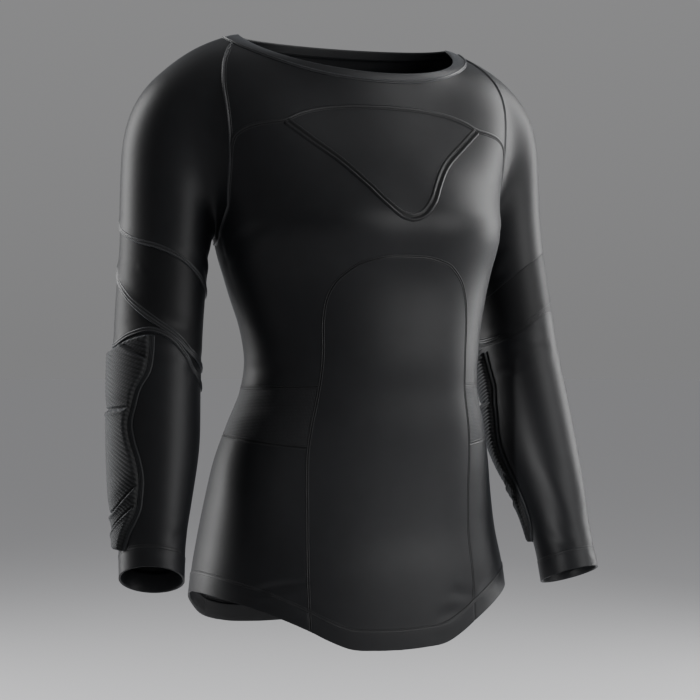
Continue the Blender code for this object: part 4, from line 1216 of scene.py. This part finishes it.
raglan = []
for s, turn in ((1, 0), (-1, 360)):
    for line in (seamRun("raglanFront", 0, 10, 200, s), seamRun("raglanBack", 0, 9, 200, s, turn)):
        raglan.append(ribbon(line, "body", seamLooks["welt"], flip=s < 0))
seamPiece("raglan_seams", raglan)
yokeLine = acrossFront(yokeHalf, yokeSide)
seamPiece("yoke_seam", [ribbon(yokeLine, "body", seamLooks["covered"])], finish="seam")
seamPiece("vee_seam", [ribbon(acrossFront(vee), "body", seamLooks["piped"])], "chest_panel", "seam")
flat = seamLooks["flat"]
panelSeams = [ribbon(acrossFront(bothSides("princess", 0, 14, 320)), "body", flat)]
for s in (1, -1):
    panelSeams.append(ribbon(seamRun("side", 0, 7, 250, s), "body", flat))
    panelSeams.append(ribbon(waistHigh[s], "body", flat))
    panelSeams.append(ribbon(waistLow[s], "body", seamLooks["sunk"]))
seamPiece("panel_seams", panelSeams, finish="seam")
hemLine = joined(seamRun("hem", 0, 14, 500), seamRun("hem", 0, 14, 500, -1, 360)[::-1])[:-1]
hemLine = hemLine + [[0, cloth["turning"]]]
seamPiece("hem_stitches", [ribbon(hemLine, "body", seamLooks["twin"], True, seamLifts["hem"])],
          finish="seam")
neckLine = neckRun(0, 360, 400)[:-1]
seamPiece("neck_piping", [ribbon(neckLine, "body", seamLooks["corded"], True, seamLifts["neck"])],
          "neckband", "piping")
for side in ("right", "left"):
    around = np.arange(-90, 270, 1.0)
    rings = []
    for k, look in ((1, "raised"), (2, "broad"), (3, "raised")):
        line = np.stack([around, columnRound(sleeveCut[side], k, around)], -1)
        rings.append(ribbon(line, side, seamLooks[look], True, seam=k))
    seamPiece("sleeve_seams_" + side, rings, "elbow_cloth")
    cuffLine = np.stack([around, cuffHeight(side, around) + cloth["turning"]], -1)
    cuffRing = ribbon(cuffLine, side, seamLooks["twin"], True, seamLifts["cuff"])
    seamPiece("cuff_stitches_" + side, [cuffRing], finish="seam")
print("seams sewn")

# Stage, light and camera
studio = {
    "floorHeight": -0.95,
    "floorRadius": 40.0,
    "floorCorners": 96,
    "floorColour": (0.60, 0.60, 0.61),
    "floorRoughness": 0.9,
    "horizonColour": (0.22, 0.22, 0.223),
    "zenithColour": (0.44, 0.44, 0.446),
    "cameraDistance": 2.2,
    "cameraAzimuth": -27,
    "cameraHeight": -0.341,
    "cameraShift": -0.0022,
    "cameraSees": 100,
    "frameWidth": 0.77,
    "middle": (0, 0, -0.33),     # what the large lights point at
    # place as seen by the camera, size and power
    "softboxes": {
        "leftRim": ((-2.0, 0.75, 0.30), (1.0, 2.0), 60),
        "rightRim": ((1.7, 1.1, 0.30), (0.7, 2.0), 46),
        "rightKey": ((2.1, -1.0, 0.3), (1.2, 2.0), 46),
    },
    "spotPower": 260,
    "spotRadius": 0.10,
    "spotAngle": 5.5,
    "spotFrom": (-0.9, -1.9, -0.55),
    "spotAt": (-60, -0.495),     # angle and height on the left sleeve
    "sensor": 36,
}


def floorPiece():
    # A wide disc.
    count, radius = studio["floorCorners"], studio["floorRadius"]
    turn = np.linspace(0, 2 * np.pi, count, endpoint=False)
    height = np.full(count, studio["floorHeight"])
    points = np.stack([radius * np.cos(turn), radius * np.sin(turn), height], -1)
    mesh = bpy.data.meshes.new("floor")
    mesh.from_pydata(points.tolist(), [], [list(range(count))])
    finish = bpy.data.materials.new("floor_paint")
    finish.use_nodes = True
    shader = finish.node_tree.nodes["Principled BSDF"]
    shader.inputs["Base Color"].default_value = (*studio["floorColour"], 1)
    shader.inputs["Roughness"].default_value = studio["floorRoughness"]
    shader.inputs["Specular IOR Level"].default_value = 0.0
    mesh.materials.append(finish)
    floor = bpy.data.objects.new("floor", mesh)
    bpy.context.scene.collection.objects.link(floor)


def hangLamp(name, light, place, target):
    # The place is given as seen by the camera, and the lamp is turned towards the target.
    lamp = bpy.data.objects.new(name, light)
    lamp.location = studioPlace(*place)
    aim = np.array(target, float) - studioPlace(*place)
    lamp.rotation_euler = Vector(aim).to_track_quat("-Z", "Y").to_euler()
    bpy.context.scene.collection.objects.link(lamp)


def softbox(name, place, size, power):
    # A large rectangular light.
    light = bpy.data.lights.new(name, "AREA")
    light.shape = "RECTANGLE"
    light.size, light.size_y = size
    light.energy = power
    hangLamp(name, light, place, studio["middle"])


def forearmSpot():
    # A narrow soft beam from the camera's left, past the hips, on the front of the left forearm.
    light = bpy.data.lights.new("forearmSpot", "SPOT")
    light.energy, light.shadow_soft_size = studio["spotPower"], studio["spotRadius"]
    light.spot_size, light.spot_blend = np.radians(studio["spotAngle"]), 1.0
    hangLamp("forearmSpot", light, studio["spotFrom"], armPoint(*studio["spotAt"]))


def cameraFrame():
    # Right and ahead directions of the photograph's camera, level with the horizon.
    turn = np.radians(-studio["cameraAzimuth"])
    return np.array([np.cos(turn), -np.sin(turn), 0]), np.array([np.sin(turn), np.cos(turn), 0])


def addCamera():
    # Its lens takes in the frame's width at its distance from the middle of the body.
    right, ahead = cameraFrame()
    camera = bpy.data.cameras.new("camera")
    camera.sensor_width = studio["sensor"]
    camera.lens = studio["sensor"] * studio["cameraDistance"] / studio["frameWidth"]
    camera.clip_end = studio["cameraSees"]
    seat = bpy.data.objects.new("camera", camera)
    place = -ahead * studio["cameraDistance"] + right * studio["cameraShift"]
    place[2] = studio["cameraHeight"]
    seat.location = place
    seat.rotation_euler = (np.radians(90), 0, np.radians(studio["cameraAzimuth"]))
    bpy.context.scene.collection.objects.link(seat)
    bpy.context.scene.camera = seat


def studioPlace(across, away, height):
    # A place given as seen by the camera: to the right, away from it, and up.
    right, ahead = cameraFrame()
    place = right * across + ahead * away
    place[2] = height
    return place


def surroundings():
    # A plain world whose colour goes from the horizon's to the zenith's with the height of the
    # direction looked in.
    world = bpy.data.worlds.new("studio")
    world.use_nodes = True
    tree = world.node_tree
    room = node(tree, "ShaderNodeTexCoord")
    parts = node(tree, "ShaderNodeSeparateXYZ")
    blend = node(tree, "ShaderNodeMix", data_type="RGBA", clamp_factor=True)
    blend.inputs["A"].default_value = (*studio["horizonColour"], 1)
    blend.inputs["B"].default_value = (*studio["zenithColour"], 1)
    tree.links.new(room.outputs["Generated"], parts.inputs["Vector"])
    tree.links.new(parts.outputs["Z"], blend.inputs["Factor"])
    tree.links.new(blend.outputs["Result"], tree.nodes["Background"].inputs["Color"])
    bpy.context.scene.world = world


floorPiece()
addCamera()
surroundings()
for name, (place, size, power) in studio["softboxes"].items():
    softbox(name, place, size, power)
forearmSpot()
print("stage, lights and camera set")
